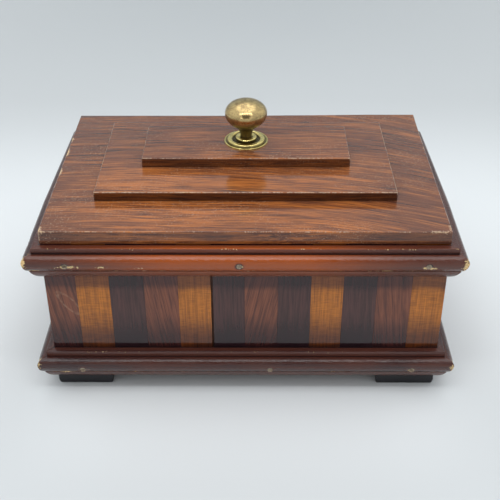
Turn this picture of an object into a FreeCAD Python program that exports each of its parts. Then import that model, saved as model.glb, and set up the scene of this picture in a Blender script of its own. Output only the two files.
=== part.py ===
import FreeCAD, Part
import math
import os
import re

import Sketcher

# Rectangular wooden tea caddy: a boarded case on four block feet, faced with upright strips of
# three woods and edged with planted mouldings, and a stepped lid with a brass knob, hung at the
# back on two brass stop hinges. Inside, a divider makes two compartments lined with metal foil.
# Millimetres. +X is to the right seen from the front, +Y goes to the back, +Z is up. The origin
# is the centre of the whole object's box, on the plane that the feet stand on.

SIZES = (
    ("case_width", 250.0, "case over its side facings, and the lid board"),
    ("case_depth", 165.8, "case from its front facing to its back, and the lid board"),
    ("foot_height", 7.6, "feet, and the height at which the case starts"),
    ("foot_width", 38.0, "each side of a square foot"),
    ("foot_round", 1.6, "rounding of a foot's lower edges"),
    ("rim_height", 110.5, "top of the case walls above the ground"),
    ("wall", 8.0, "front and side boards"),
    ("back_wall", 10.0, "back board, which takes the hinges"),
    ("bottom_board", 8.0, "bottom board, let in between the walls"),
    ("facing", 2.0, "strips that face the front and the sides"),
    ("crack", 0.5, "shrinkage crack beside one front strip"),
    ("divider", 5.0, "board between the two compartments"),
    ("divider_drop", 10.0, "divider's top edge below the rim"),
    ("lining", 0.6, "metal lining of a compartment"),
    ("lining_drop", 1.5, "lining's edge below the divider's top"),
    ("moulding_height", 23.3, "planted moulding, the same at the rim and the base"),
    ("ledge_width", 4.6, "moulding's flat top, out from the wall"),
    ("ledge_drop", 3.9, "upright fillet under the flat top"),
    ("nose_start", 5.0, "where the half-round nose starts, out from the wall"),
    ("nose_reach", 10.2, "nose at its crown, out from the wall"),
    ("crown_drop", 7.6, "nose's crown below the flat top"),
    ("nose_foot", 7.0, "where the nose ends, out from the wall"),
    ("nose_drop", 14.5, "nose's end below the flat top"),
    ("quirk", 0.6, "groove between the nose and the member under it"),
    ("toe_radius", 15.0, "hollow-backed member under the nose"),
    ("pin_head", 1.75, "moulding pin's head radius"),
    ("pin_head_height", 1.2, "moulding pin's countersunk head"),
    ("pin_shank", 1.0, "moulding pin's shank radius"),
    ("pin_length", 16.0, "moulding pin from head to point"),
    ("pin_sink", 0.4, "moulding pin's head inside the nose's crown"),
    ("rim_pin_drop", 9.5, "rim moulding's pins below its flat top"),
    ("rim_pin_left", 16.0, "rim moulding's left pin from the case's end"),
    ("rim_pin_middle", 3.5, "rim moulding's middle pin, left of the centre"),
    ("rim_pin_right", 14.0, "rim moulding's right pin from the case's end"),
    ("base_pin_drop", 11.0, "base moulding's pins below its flat top"),
    ("base_pin_left", 19.0, "base moulding's left pin from the case's end"),
    ("base_pin_middle", -16.0, "base moulding's middle pin, left of the centre"),
    ("base_pin_right", 17.0, "base moulding's right pin from the case's end"),
    ("side_pin_inset", 24.0, "side mouldings' pins from the case's ends"),
    ("foot_screw_head", 2.6, "foot screw's head radius"),
    ("foot_screw_head_height", 1.6, "foot screw's countersunk head"),
    ("foot_screw_shank", 1.3, "foot screw's shank radius"),
    ("foot_screw_length", 12.5, "foot screw from head to point"),
    ("foot_screw_sink", 0.5, "foot screw's head above the ground"),
    ("lid_gap", 0.4, "gap between the rim and the closed lid"),
    ("lid_board", 8.8, "lid's lowest board"),
    ("middle_width", 192.4, "lid's middle step"),
    ("middle_depth", 103.8, "lid's middle step"),
    ("middle_height", 6.25, "lid's middle step"),
    ("middle_setback", 6.1, "middle step's centre behind the case's"),
    ("upper_width", 137.6, "lid's upper step"),
    ("upper_depth", 49.1, "lid's upper step"),
    ("upper_height", 6.6, "lid's upper step"),
    ("upper_setback", 12.7, "upper step's centre behind the case's"),
    ("edge_round", 0.5, "rounding of the lid boards' edges"),
    ("knob_setback", 14.3, "knob's axis behind the case's centre"),
    ("rose_radius", 14.85, "knob's back plate"),
    ("rose_rim", 0.9, "back plate's upright rim"),
    ("ring_outer", 12.6, "raised ring on the back plate"),
    ("ring_inner", 10.3, "raised ring on the back plate"),
    ("ring_round", 1.5, "raised ring's round back"),
    ("ring_seat", 2.0, "foot of the raised ring"),
    ("recess_floor", 1.2, "recess between the ring and the collar"),
    ("recess_outer", 9.9, "recess between the ring and the collar"),
    ("collar_outer", 7.4, "collar around the knob's neck"),
    ("collar_inner", 4.2, "collar around the knob's neck"),
    ("collar_side", 3.1, "top of the collar's upright side"),
    ("collar_round", 1.9, "collar's round back"),
    ("collar_seat", 3.0, "height at which the knob's neck stands"),
    ("neck_radius", 3.7, "knob's neck at its narrowest"),
    ("neck_straight", 5.0, "height at which the neck starts to flare"),
    ("neck_flare", 6.8, "neck's radius where it meets the ball"),
    ("ball_radius", 14.2, "flattened ball of the knob"),
    ("ball_half_height", 9.25, "flattened ball of the knob"),
    ("ball_sink", 0.3, "neck's end inside the ball"),
    ("ball_height", 20.6, "ball's centre above the upper step"),
    ("stud_radius", 2.0, "stud through the lid's three boards"),
    ("stud_rise", 8.0, "stud's end above the upper step"),
    ("stud_tail", 0.6, "stud's end below the nut"),
    ("nut_recess", 5.2, "depth of the nut's recess in the lid"),
    ("nut_recess_radius", 6.5, "nut's recess in the lid"),
    ("washer_radius", 5.5, "washer under the nut"),
    ("washer_height", 0.8, "washer under the nut"),
    ("nut_radius", 4.0, "nut over its corners"),
    ("nut_height", 3.0, "nut"),
    ("bore_clearance", 0.08, "fastener in its hole, on the radius"),
    ("hinge_width", 38.0, "each hinge along the case"),
    ("hinge_inset", 30.0, "hinge's outer end from the case's end"),
    ("leaf", 1.2, "hinge leaf's plate"),
    ("leaf_length", 7.0, "hinge leaf's plate in from the back"),
    ("knuckle", 2.3, "hinge's knuckle radius"),
    ("knuckle_width", 12.6, "middle knuckle along the case"),
    ("knuckle_gap", 0.3, "between a knuckle and the case's back or the other leaf"),
    ("hinge_pin", 1.0, "hinge pin's radius"),
    ("hinge_running", 0.05, "hinge pin in its knuckles, on the radius"),
    ("stop_reach", 5.6, "stop shoulder's edge from the hinge's axis"),
    ("stop_angle", 49.0, "stop shoulder's slope from the level"),
    ("mortise_clearance", 0.08, "hinge leaf in its mortise, on each side"),
    ("hinge_screw_head", 1.6, "hinge screw's head radius"),
    ("hinge_screw_head_height", 0.9, "hinge screw's countersunk head"),
    ("hinge_screw_shank", 0.8, "hinge screw's shank radius"),
    ("hinge_screw_length", 6.5, "hinge screw from head to point"),
    ("hinge_screw_spread", 12.5, "hinge screws from the hinge's middle"),
    ("hinge_screw_inset", 3.6, "hinge screws in from the back"),
    ("slot_width", 0.6, "screwdriver slot in a head"),
    ("slot_depth", 0.5, "screwdriver slot in a head"),
)

FRONT_WOODS = (
    "brown", "light", "dark", "brown", "light", "dark",
    "brown", "dark", "light", "dark", "brown", "light",
)
SIDE_WOODS = ("brown", "light", "dark", "brown", "light", "dark", "brown", "light")
CRACKED_STRIP = 6

# Places that follow from the sizes, with y measured from the centre of the object's box.
DERIVED = {
    "axis_out": "knuckle + knuckle_gap",
    "hinge_reach": "axis_out + stop_reach * cos(stop_angle * 1deg)",
    "centre": "(nose_reach - hinge_reach) / 2",
    "front": "centre - case_depth / 2",
    "back": "centre + case_depth / 2",
    "left": "-case_width / 2",
    "right": "case_width / 2",
    "core_left": "left + facing",
    "core_front": "front + facing",
    "core_width": "case_width - 2 * facing",
    "wall_height": "rim_height - foot_height",
    "room_width": "core_width - 2 * wall",
    "room_depth": "case_depth - facing - wall - back_wall",
    "room_front": "core_front + wall",
    "floor": "foot_height + bottom_board",
    "divider_top": "rim_height - divider_drop",
    "lining_height": "divider_top - lining_drop - floor",
    "bay_width": "(room_width - divider) / 2",
    "front_strip_width": f"case_width / {len(FRONT_WOODS)}",
    "side_strip_width": f"(case_depth - facing) / {len(SIDE_WOODS)}",
    "base_moulding": "foot_height",
    "rim_moulding": "rim_height - moulding_height",
    "rim_pin_z": "rim_height - rim_pin_drop",
    "base_pin_z": "base_moulding + moulding_height - base_pin_drop",
    "pin_seat": "nose_reach - pin_sink",
    "lid_bottom": "rim_height + lid_gap",
    "lid_top": "lid_bottom + lid_board",
    "middle_top": "lid_top + middle_height",
    "upper_top": "middle_top + upper_height",
    "knob_y": "centre + knob_setback",
    "recess_ceiling": "lid_bottom + nut_recess",
    "nut_bottom": "recess_ceiling - washer_height - nut_height",
    "hinge_y": "back + axis_out",
    "hinge_z": "rim_height + lid_gap / 2",
    "hinge_centre": "right - hinge_inset - hinge_width / 2",
    "neck_top": "ball_height - ball_half_height * sqrt(1 - (neck_flare / ball_radius)^2) + ball_sink",
    "stop_out": "stop_reach * cos(stop_angle * 1deg)",
    "stop_drop": "stop_reach * sin(stop_angle * 1deg)",
}

Z_AXIS = FreeCAD.Vector(0, 0, 1)
X_AXIS = FreeCAD.Vector(1, 0, 0)

document = FreeCAD.newDocument("tea_caddy")
sheet = document.addObject("Spreadsheet::Sheet", "Sizes")
for row, (alias, value, note) in enumerate(SIZES, start=1):
    sheet.set(f"A{row}", note)
    sheet.set(f"B{row}", str(value))
    sheet.setAlias(f"B{row}", alias)
document.recompute()
ALIASES = {alias for alias, value, note in SIZES}
parts = []


def bound(text):
    """Return the expression with derived places expanded and sizes read from the sheet."""

    def word(match):
        name = match.group(0)
        if name in DERIVED:
            return f"({bound(DERIVED[name])})"
        return f"Sizes.{name}" if name in ALIASES else name

    return re.sub(r"(?<![0-9])[a-z_]+", word, str(text))


def value_of(text):
    """Return the number that an expression gives now."""
    return float(sheet.evalExpression(bound(text)))


def add(kind, name, **sizes):
    """Add an object and bind each named property to its expression."""
    thing = document.addObject(kind, name)
    for name_of_size, text in sizes.items():
        thing.setExpression(name_of_size, bound(text))
    return thing


def place(thing, x=0, y=0, z=0, axis=Z_AXIS, angle=0):
    """Turn an object and bind its position to three expressions."""
    thing.Placement = FreeCAD.Placement(FreeCAD.Vector(), FreeCAD.Rotation(axis, angle))
    for letter, text in zip("xyz", (x, y, z)):
        thing.setExpression(f"Placement.Base.{letter}", bound(text))
    return thing


def keep(thing, label):
    """Give a finished sub-part its own label and list it for export."""
    thing.Label = label
    parts.append(thing)
    return thing


def box(name, corner, size):
    """Add a box from its low corner and its three sizes."""
    thing = add("Part::Box", name, Length=size[0], Width=size[1], Height=size[2])
    return place(thing, *corner)


def cut(name, base, *tools):
    """Cut one or more tools from a solid."""
    result = document.addObject("Part::Cut", name)
    result.Base = base
    if len(tools) == 1:
        result.Tool = tools[0]
    else:
        result.Tool = group(f"{name}_tools", tools)
    return result


def group(name, things):
    """Gather objects into one compound of separate solids."""
    result = document.addObject("Part::Compound", name)
    result.Links = list(things)
    return result


def copy_at(name, master, x, y, z, axis=Z_AXIS, angle=0):
    """Place a linked copy of a master object."""
    link = document.addObject("App::Link", name)
    link.LinkedObject = master
    return place(link, x, y, z, axis, angle)


def origin_plane(body, role):
    """Return one of a body's own origin planes."""
    return next(plane for plane in body.Origin.OriginFeatures if plane.Role == role)


def pin_down(sketch, geometry, end, x, y):
    """Fix a sketch point at two expressions, on an axis where one of them is nothing."""
    for text, constraint, axis in ((x, "DistanceX", -2), (y, "DistanceY", -1)):
        if str(text) == "0":
            sketch.addConstraint(Sketcher.Constraint("PointOnObject", geometry, end, axis))
            continue
        index = sketch.addConstraint(
            Sketcher.Constraint(constraint, -1, 1, geometry, end, value_of(text))
        )
        sketch.setExpression(f"Constraints[{index}]", bound(text))


def outline(body, plane, points, arcs=None):
    """Draw a closed outline; arcs names the sides that are round, by their first point.

    An arc is (sagitta, kind, expression): how far it starts off its chord, to the right when
    positive, and then either the height of its centre or its radius.
    """
    arcs = arcs or {}
    sketch = body.newObject("Sketcher::SketchObject", f"{body.Name}_outline")
    sketch.AttachmentSupport = (origin_plane(body, plane), "")
    sketch.MapMode = "FlatFace"
    corners = [FreeCAD.Vector(value_of(x), value_of(y), 0) for x, y in points]
    starts = []
    ends = []
    for index, corner in enumerate(corners):
        following = corners[(index + 1) % len(corners)]
        if index in arcs:
            sagitta = arcs[index][0]
            chord = following - corner
            side = FreeCAD.Vector(chord.y, -chord.x, 0).normalize()
            middle = (corner + following) / 2 + side * sagitta
            geometry = sketch.addGeometry(Part.Arc(corner, middle, following))
            turned = (sketch.getPoint(geometry, 1) - corner).Length > 1e-6
        else:
            geometry = sketch.addGeometry(Part.LineSegment(corner, following))
            turned = False
        starts.append((geometry, 2 if turned else 1))
        ends.append((geometry, 1 if turned else 2))
    for index, (x, y) in enumerate(points):
        sketch.addConstraint(Sketcher.Constraint("Coincident", *ends[index - 1], *starts[index]))
        pin_down(sketch, *starts[index], x, y)
    for index, (sagitta, kind, text) in arcs.items():
        geometry = starts[index][0]
        if kind == "centre":
            pin = Sketcher.Constraint("DistanceY", -1, 1, geometry, 3, value_of(text))
        else:
            pin = Sketcher.Constraint("Radius", geometry, value_of(text))
        number = sketch.addConstraint(pin)
        sketch.setExpression(f"Constraints[{number}]", bound(text))
    return sketch


def pad(name, plane, points, length, arcs=None):
    """Add a body padded from an outline on one of its planes."""
    body = document.addObject("PartDesign::Body", name)
    sketch = outline(body, plane, points, arcs)
    feature = body.newObject("PartDesign::Pad", f"{name}_pad")
    feature.Profile = sketch
    feature.setExpression("Length", bound(length))
    return body


def pocket(body, points, label):
    """Cut an outline on a body's ground plane right through it, up and down."""
    sketch = outline(body, "XY_Plane", points)
    feature = body.newObject("PartDesign::Pocket", f"{body.Name}_{label}")
    feature.Profile = sketch
    feature.Type = "ThroughAll"
    feature.Midplane = True
    return feature


def revolve(name, points, arcs=None):
    """Add a body turned about its own upright axis from a half section."""
    body = document.addObject("PartDesign::Body", name)
    sketch = outline(body, "XZ_Plane", points, arcs)
    feature = body.newObject("PartDesign::Revolution", f"{name}_turned")
    feature.Profile = sketch
    feature.ReferenceAxis = (sketch, ["V_Axis"])
    feature.Angle = 360.0
    return body


def screw(name, head, head_height, shank, length):
    """Return a slotted countersunk screw and its hole, heads at the origin, points down."""
    body = revolve(
        name,
        (
            ("0", "0"),
            (head, "0"),
            (shank, f"-{head_height}"),
            (shank, f"-{length} + 2 * {shank}"),
            ("0", f"-{length}"),
        ),
    )
    hole = revolve(
        f"{name}_hole",
        (
            ("0", f"2 * {head}"),
            (f"{head} + bore_clearance", f"2 * {head}"),
            (f"{head} + bore_clearance", "0"),
            (f"{shank} + bore_clearance", f"-{head_height}"),
            (f"{shank} + bore_clearance", f"-{length} - bore_clearance"),
            ("0", f"-{length} - bore_clearance"),
        ),
    )
    slot = box(
        f"{name}_slot",
        (f"-{head}", "-slot_width / 2", "-slot_depth"),
        (f"2 * {head}", "slot_width", "2 * slot_depth"),
    )
    return cut(f"{name}_slotted", body, slot), hole


def drive(label, master, hole, places):
    """Place a screw and its hole at each place; keep the screws as one node."""
    screws = []
    holes = []
    for number, spot in enumerate(places, start=1):
        screws.append(copy_at(f"{label}_{number}", master, *spot))
        holes.append(copy_at(f"{label}_hole_{number}", hole, *spot))
    keep(group(label, screws), label)
    return group(f"{label}_holes", holes)


def block(name, corner, size, rounding, chosen):
    """Add a padded block whose chosen edges are rounded."""
    body = pad(
        name,
        "XY_Plane",
        (("0", "0"), (size[0], "0"), (size[0], size[1]), ("0", size[1])),
        size[2],
    )
    document.recompute()
    solid = body.Tip
    edges = [f"Edge{n}" for n, edge in enumerate(solid.Shape.Edges, start=1) if chosen(edge)]
    fillet = body.newObject("PartDesign::Fillet", f"{name}_rounding")
    fillet.Base = (solid, edges)
    fillet.setExpression("Radius", bound(rounding))
    return place(body, *corner)


def on_ground(edge):
    """Tell whether an edge lies in its block's underside."""
    return edge.BoundBox.ZMax < 1e-6


def make_case(pin_holes, hinge_tools, foot_holes):
    """Make the boards, the divider and the metal linings."""
    front_board = box(
        "front_board_blank",
        ("core_left", "core_front", "foot_height"),
        ("core_width", "wall", "wall_height"),
    )
    keep(cut("front_board_cut", front_board, *pin_holes), "front_board")
    back_board = box(
        "back_board_blank",
        ("core_left", "back - back_wall", "foot_height"),
        ("core_width", "back_wall", "wall_height"),
    )
    keep(cut("back_board_cut", back_board, *hinge_tools), "back_board")
    for side, x in (("left", "core_left"), ("right", "right - facing - wall")):
        board = box(
            f"{side}_board_blank",
            (x, "room_front", "foot_height"),
            ("wall", "room_depth", "wall_height"),
        )
        keep(cut(f"{side}_board_cut", board, *pin_holes), f"{side}_board")
    bottom = box(
        "bottom_board_blank",
        ("core_left + wall", "room_front", "foot_height"),
        ("room_width", "room_depth", "bottom_board"),
    )
    keep(cut("bottom_board_cut", bottom, foot_holes), "bottom_board")
    divider = box(
        "divider_blank",
        ("-divider / 2", "room_front", "floor"),
        ("divider", "room_depth", "divider_top - floor"),
    )
    keep(divider, "divider")
    for side, x in (("left", "core_left + wall"), ("right", "divider / 2")):
        skin = box(
            f"{side}_lining_skin",
            (x, "room_front", "floor"),
            ("bay_width", "room_depth", "lining_height"),
        )
        space = box(
            f"{side}_lining_space",
            (f"{x} + lining", "room_front + lining", "floor + lining"),
            ("bay_width - 2 * lining", "room_depth - 2 * lining", "lining_height"),
        )
        keep(cut(f"{side}_lining_cut", skin, space), f"{side}_lining")


def make_facings(pin_holes):
    """Make the upright strips, edge to edge, in three woods."""
    for number, wood in enumerate(FRONT_WOODS, start=1):
        crack = "crack" if number == CRACKED_STRIP else "0"
        strip = box(
            f"front_strip_{number:02d}_blank",
            (f"left + {number - 1} * front_strip_width + {crack}", "front", "foot_height"),
            (f"front_strip_width - {crack}", "facing", "wall_height"),
        )
        keep(cut(f"front_strip_{number:02d}_cut", strip, *pin_holes), f"front_strip_{number:02d}")
    for side, x in (("left", "left"), ("right", "right - facing")):
        for wood in sorted(set(SIDE_WOODS)):
            strips = [
                box(
                    f"{side}_strip_{number}_{wood}",
                    (x, f"core_front + {number} * side_strip_width", "foot_height"),
                    ("facing", "side_strip_width", "wall_height"),
                )
                for number, name in enumerate(SIDE_WOODS)
                if name == wood
            ]
            blank = group(f"{side}_strips_{wood}_blank", strips)
            keep(cut(f"{side}_strips_{wood}_cut", blank, *pin_holes), f"{side}_strips_{wood}")


def moulding(name, length, mitres):
    """Add a run of moulding along +Y, its back on the upright plane through its origin."""
    height = "moulding_height"
    section = (
        ("0", height),
        ("0", "0"),
        ("nose_foot - quirk / 2", f"{height} - nose_drop - quirk"),
        ("nose_foot - quirk", f"{height} - nose_drop - quirk / 2"),
        ("nose_foot", f"{height} - nose_drop"),
        ("nose_reach", f"{height} - crown_drop"),
        ("nose_start", f"{height} - ledge_drop"),
        ("ledge_width", f"{height} - ledge_drop"),
        ("ledge_width", height),
    )
    arcs = {
        1: (1.0, "radius", "toe_radius"),
        4: (0.7, "centre", f"{height} - crown_drop"),
        5: (1.5, "centre", f"{height} - crown_drop"),
    }
    body = pad(name, "XZ_Plane", section, length, arcs)
    body.Tip.Reversed = True
    waste = 1
    if "start" in mitres:
        corners = (
            (f"-{waste}", f"-{waste}"),
            (f"nose_reach + {waste}", f"-{waste}"),
            (f"-{waste}", f"nose_reach + {waste}"),
        )
        pocket(body, corners, "start_mitre")
    if "end" in mitres:
        corners = (
            (f"-{waste}", f"{length} + {waste}"),
            (f"-{waste}", f"{length} - nose_reach - {waste}"),
            (f"nose_reach + {waste}", f"{length} + {waste}"),
        )
        pocket(body, corners, "end_mitre")
    return body


def make_mouldings(level, z, pin_holes):
    """Plant one moulding on the front and one on each side, mitred at the front corners."""
    runs = (
        ("front", "case_width + 2 * nose_reach", ("start", "end"), "left - nose_reach", "front", -90),
        ("left", "case_depth + nose_reach", ("end",), "left", "back", 180),
        ("right", "case_depth + nose_reach", ("start",), "right", "front - nose_reach", 0),
    )
    for side, length, mitres, x, y, angle in runs:
        label = f"{level}_moulding_{side}"
        body = place(moulding(f"{label}_run", length, mitres), x, y, z, Z_AXIS, angle)
        keep(cut(f"{label}_cut", body, pin_holes), label)


def moulding_pins(level, z, master, hole):
    """Drive three pins through the front moulding and two through each side moulding."""
    y_out = "front - pin_seat"
    places = [
        (f"left + {level}_pin_left", y_out, z, X_AXIS, 90),
        (f"-{level}_pin_middle", y_out, z, X_AXIS, 90),
        (f"right - {level}_pin_right", y_out, z, X_AXIS, 90),
    ]
    for x, angle in (("left - pin_seat", -90), ("right + pin_seat", 90)):
        for y in ("front + side_pin_inset", "back - side_pin_inset"):
            places.append((x, y, z, FreeCAD.Vector(0, 1, 0), angle))
    return drive(f"{level}_moulding_pins", master, hole, places)


def make_feet(foot_holes):
    """Set a block foot under each corner, flush with the case."""
    for end, y in (("front", "front"), ("back", "back - foot_width")):
        for side, x in (("left", "left"), ("right", "right - foot_width")):
            label = f"{end}_{side}_foot"
            foot = block(
                f"{label}_block",
                (x, y, "0"),
                ("foot_width", "foot_width", "foot_height"),
                "foot_round",
                on_ground,
            )
            keep(cut(f"{label}_cut", foot, foot_holes), label)


def leaf(name, up, notches, barrels):
    """Add a hinge leaf about its own axis: plate, stop shoulder and knuckles."""
    level = f"{up} * lid_gap / 2"
    section = (
        ("-axis_out - leaf_length", level),
        ("-axis_out - leaf_length", f"{level} + {up} * leaf"),
        ("-axis_out", f"{level} + {up} * leaf"),
        ("-axis_out", f"{up} * stop_drop"),
        ("stop_out", f"{up} * stop_drop"),
        ("lid_gap / 2 / tan(stop_angle * 1deg)", level),
    )
    plate = pad(f"{name}_plate", "YZ_Plane", section, "hinge_width")
    plate.Tip.Midplane = True
    rounds = []
    for number, (low, high) in enumerate(barrels):
        barrel = add("Part::Cylinder", f"{name}_barrel_{number}", Radius="knuckle")
        barrel.setExpression("Height", bound(f"{high} - ({low})"))
        rounds.append(place(barrel, low, 0, 0, FreeCAD.Vector(0, 1, 0), 90))
    cleared = []
    for number, (low, high) in enumerate(notches):
        notch = add("Part::Cylinder", f"{name}_notch_{number}", Radius="knuckle + knuckle_gap")
        notch.setExpression("Height", bound(f"{high} - ({low})"))
        cleared.append(place(notch, low, 0, 0, FreeCAD.Vector(0, 1, 0), 90))
    notched = cut(f"{name}_notched", plate, *cleared)
    whole = document.addObject("Part::MultiFuse", f"{name}_whole")
    whole.Shapes = [notched, *rounds]
    eye = add("Part::Cylinder", f"{name}_eye", Radius="hinge_pin + hinge_running")
    eye.setExpression("Height", bound("hinge_width + 2"))
    place(eye, "-hinge_width / 2 - 1", 0, 0, FreeCAD.Vector(0, 1, 0), 90)
    return cut(f"{name}_bored", whole, eye)


def make_hinges(case_holes, lid_holes):
    """Hang the lid on two hinges, each two leaves and a pin."""
    end = "hinge_width / 2"
    near = "knuckle_width / 2"
    far = "(knuckle_width / 2 + knuckle_gap)"
    outer = ((f"-{end}", f"-{far}"), (far, end))
    middle = ((f"-{near}", near),)
    case_leaf = leaf("case_leaf", -1, ((f"-{far}", far),), outer)
    lid_leaf = leaf("lid_leaf", 1, ((f"-{end} - 1", f"-{near}"), (near, f"{end} + 1")), middle)
    for side, x in (("left", "-hinge_centre"), ("right", "hinge_centre")):
        for kind, master, holes in (("case", case_leaf, case_holes), ("lid", lid_leaf, lid_holes)):
            label = f"{side}_hinge_{kind}_leaf"
            placed = copy_at(f"{label}_placed", master, x, "hinge_y", "hinge_z")
            keep(cut(f"{label}_cut", placed, holes), label)
        pin = add("Part::Cylinder", f"{side}_hinge_pin_rod", Radius="hinge_pin", Height="hinge_width")
        place(pin, f"{x} - hinge_width / 2", "hinge_y", "hinge_z", FreeCAD.Vector(0, 1, 0), 90)
        keep(pin, f"{side}_hinge_pin")


def mortises(kind, z):
    """Return the two pockets that a pair of hinge leaves lies in."""
    return [
        box(
            f"{kind}_{side}_mortise",
            (f"{x} - hinge_width / 2 - mortise_clearance", "back - leaf_length - mortise_clearance", z),
            ("hinge_width + 2 * mortise_clearance", "leaf_length + axis_out", "leaf"),
        )
        for side, x in (("left", "-hinge_centre"), ("right", "hinge_centre"))
    ]


def make_lid(lid_tools, stud_hole):
    """Stack the lid's three boards."""
    lid_board = block(
        "lid_board_block",
        ("left", "front", "lid_bottom"),
        ("case_width", "case_depth", "lid_board"),
        "edge_round",
        lambda edge: True,
    )
    keep(cut("lid_board_cut", lid_board, *lid_tools, stud_hole), "lid_board")
    for level, z in (("middle", "lid_top"), ("upper", "middle_top")):
        step = block(
            f"lid_{level}_step_block",
            (f"-{level}_width / 2", f"centre + {level}_setback - {level}_depth / 2", z),
            (f"{level}_width", f"{level}_depth", f"{level}_height"),
            "edge_round",
            lambda edge: not on_ground(edge),
        )
        keep(cut(f"lid_{level}_step_cut", step, stud_hole), f"lid_{level}_step")


def make_knob(stud_hole):
    """Make the knob, its back plate and the stud, washer and nut that hold it."""
    rose = revolve(
        "knob_rose_turning",
        (
            ("stud_radius + bore_clearance", "0"),
            ("rose_radius", "0"),
            ("rose_radius", "rose_rim"),
            ("ring_outer", "ring_seat"),
            ("ring_inner", "ring_seat"),
            ("recess_outer", "recess_floor"),
            ("collar_outer", "recess_floor"),
            ("collar_outer", "collar_side"),
            ("collar_inner", "collar_seat"),
            ("stud_radius + bore_clearance", "collar_seat"),
        ),
        {3: (0.5, "radius", "ring_round"), 7: (0.9, "radius", "collar_round")},
    )
    keep(place(rose, "0", "knob_y", "upper_top"), "knob_rose")
    neck = revolve(
        "knob_neck",
        (
            ("0", "collar_seat"),
            ("neck_radius", "collar_seat"),
            ("neck_radius", "neck_straight"),
            ("neck_flare", "neck_top"),
            ("0", "neck_top"),
        ),
        {2: (-1.0, "centre", "neck_straight")},
    )
    place(neck, "0", "knob_y", "upper_top")
    ball = add("Part::Ellipsoid", "knob_ball", Radius1="ball_half_height", Radius2="ball_radius")
    ball.setExpression("Radius3", bound("ball_radius"))
    place(ball, "0", "knob_y", "upper_top + ball_height")
    whole = document.addObject("Part::MultiFuse", "knob_whole")
    whole.Shapes = [ball, neck]
    keep(cut("knob_cut", whole, stud_hole), "knob")
    stud = add("Part::Cylinder", "knob_stud_rod", Radius="stud_radius")
    stud.setExpression("Height", bound("upper_top + stud_rise - nut_bottom + stud_tail"))
    keep(place(stud, "0", "knob_y", "nut_bottom - stud_tail"), "knob_stud")
    washer = add("Part::Cylinder", "knob_washer_disc", Radius="washer_radius", Height="washer_height")
    place(washer, "0", "knob_y", "recess_ceiling - washer_height")
    keep(cut("knob_washer_cut", washer, stud_hole), "knob_washer")
    nut = add("Part::Prism", "knob_nut_hexagon", Circumradius="nut_radius", Height="nut_height")
    nut.Polygon = 6
    place(nut, "0", "knob_y", "nut_bottom")
    keep(cut("knob_nut_cut", nut, stud_hole), "knob_nut")


def main():
    """Build every sub-part, check it and write it."""
    pin, pin_hole = screw("moulding_pin", "pin_head", "pin_head_height", "pin_shank", "pin_length")
    rim_holes = moulding_pins("rim", "rim_pin_z", pin, pin_hole)
    base_holes = moulding_pins("base", "base_pin_z", pin, pin_hole)

    foot_screw, foot_screw_hole = screw(
        "foot_screw",
        "foot_screw_head",
        "foot_screw_head_height",
        "foot_screw_shank",
        "foot_screw_length",
    )
    foot_places = [
        (x, y, "foot_screw_sink", X_AXIS, 180)
        for x in ("left + foot_width / 2", "right - foot_width / 2")
        for y in ("front + foot_width / 2", "back - foot_width / 2")
    ]
    foot_holes = drive("foot_screws", foot_screw, foot_screw_hole, foot_places)

    hinge_screw, hinge_screw_hole = screw(
        "hinge_screw",
        "hinge_screw_head",
        "hinge_screw_head_height",
        "hinge_screw_shank",
        "hinge_screw_length",
    )
    across = [
        f"{side} * hinge_centre + {half} * hinge_screw_spread" for side in (-1, 1) for half in (-1, 1)
    ]
    y = "back - hinge_screw_inset"
    case_holes = drive(
        "case_hinge_screws",
        hinge_screw,
        hinge_screw_hole,
        [(x, y, "rim_height", Z_AXIS, 0) for x in across],
    )
    lid_holes = drive(
        "lid_hinge_screws",
        hinge_screw,
        hinge_screw_hole,
        [(x, y, "lid_bottom", X_AXIS, 180) for x in across],
    )

    make_case((rim_holes, base_holes), (case_holes, *mortises("case", "rim_height - leaf")), foot_holes)
    make_facings((rim_holes, base_holes))
    make_mouldings("base", "base_moulding", base_holes)
    make_mouldings("rim", "rim_moulding", rim_holes)
    make_feet(foot_holes)
    make_hinges(case_holes, lid_holes)

    stud_hole = add("Part::Cylinder", "stud_hole", Radius="stud_radius + bore_clearance")
    stud_hole.setExpression("Height", bound("upper_top + stud_rise + bore_clearance - lid_bottom + 1"))
    place(stud_hole, "0", "knob_y", "lid_bottom - 1")
    recess = add("Part::Cylinder", "nut_recess", Radius="nut_recess_radius", Height="nut_recess + 1")
    place(recess, "0", "knob_y", "lid_bottom - 1")
    make_lid((lid_holes, *mortises("lid", "lid_bottom"), recess), stud_hole)
    make_knob(stud_hole)

    document.recompute()
    for thing in document.Objects:
        if {"Invalid", "Error"} & set(thing.State):
            raise RuntimeError(f"{thing.Name} did not build: {thing.State}")
    os.makedirs("parts", exist_ok=True)
    for part in parts:
        if part.Shape.isNull() or not part.Shape.isValid():
            raise RuntimeError(f"{part.Label} has no valid shape")
        part.Shape.exportStep(f"parts/{part.Label}.step")
    print(len(parts), "sub-parts written")


main()
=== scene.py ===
import math

import bpy
import numpy as np
from bpy.props import FloatProperty, FloatVectorProperty, IntProperty, PointerProperty
from mathutils import Matrix, Vector, noise


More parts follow.
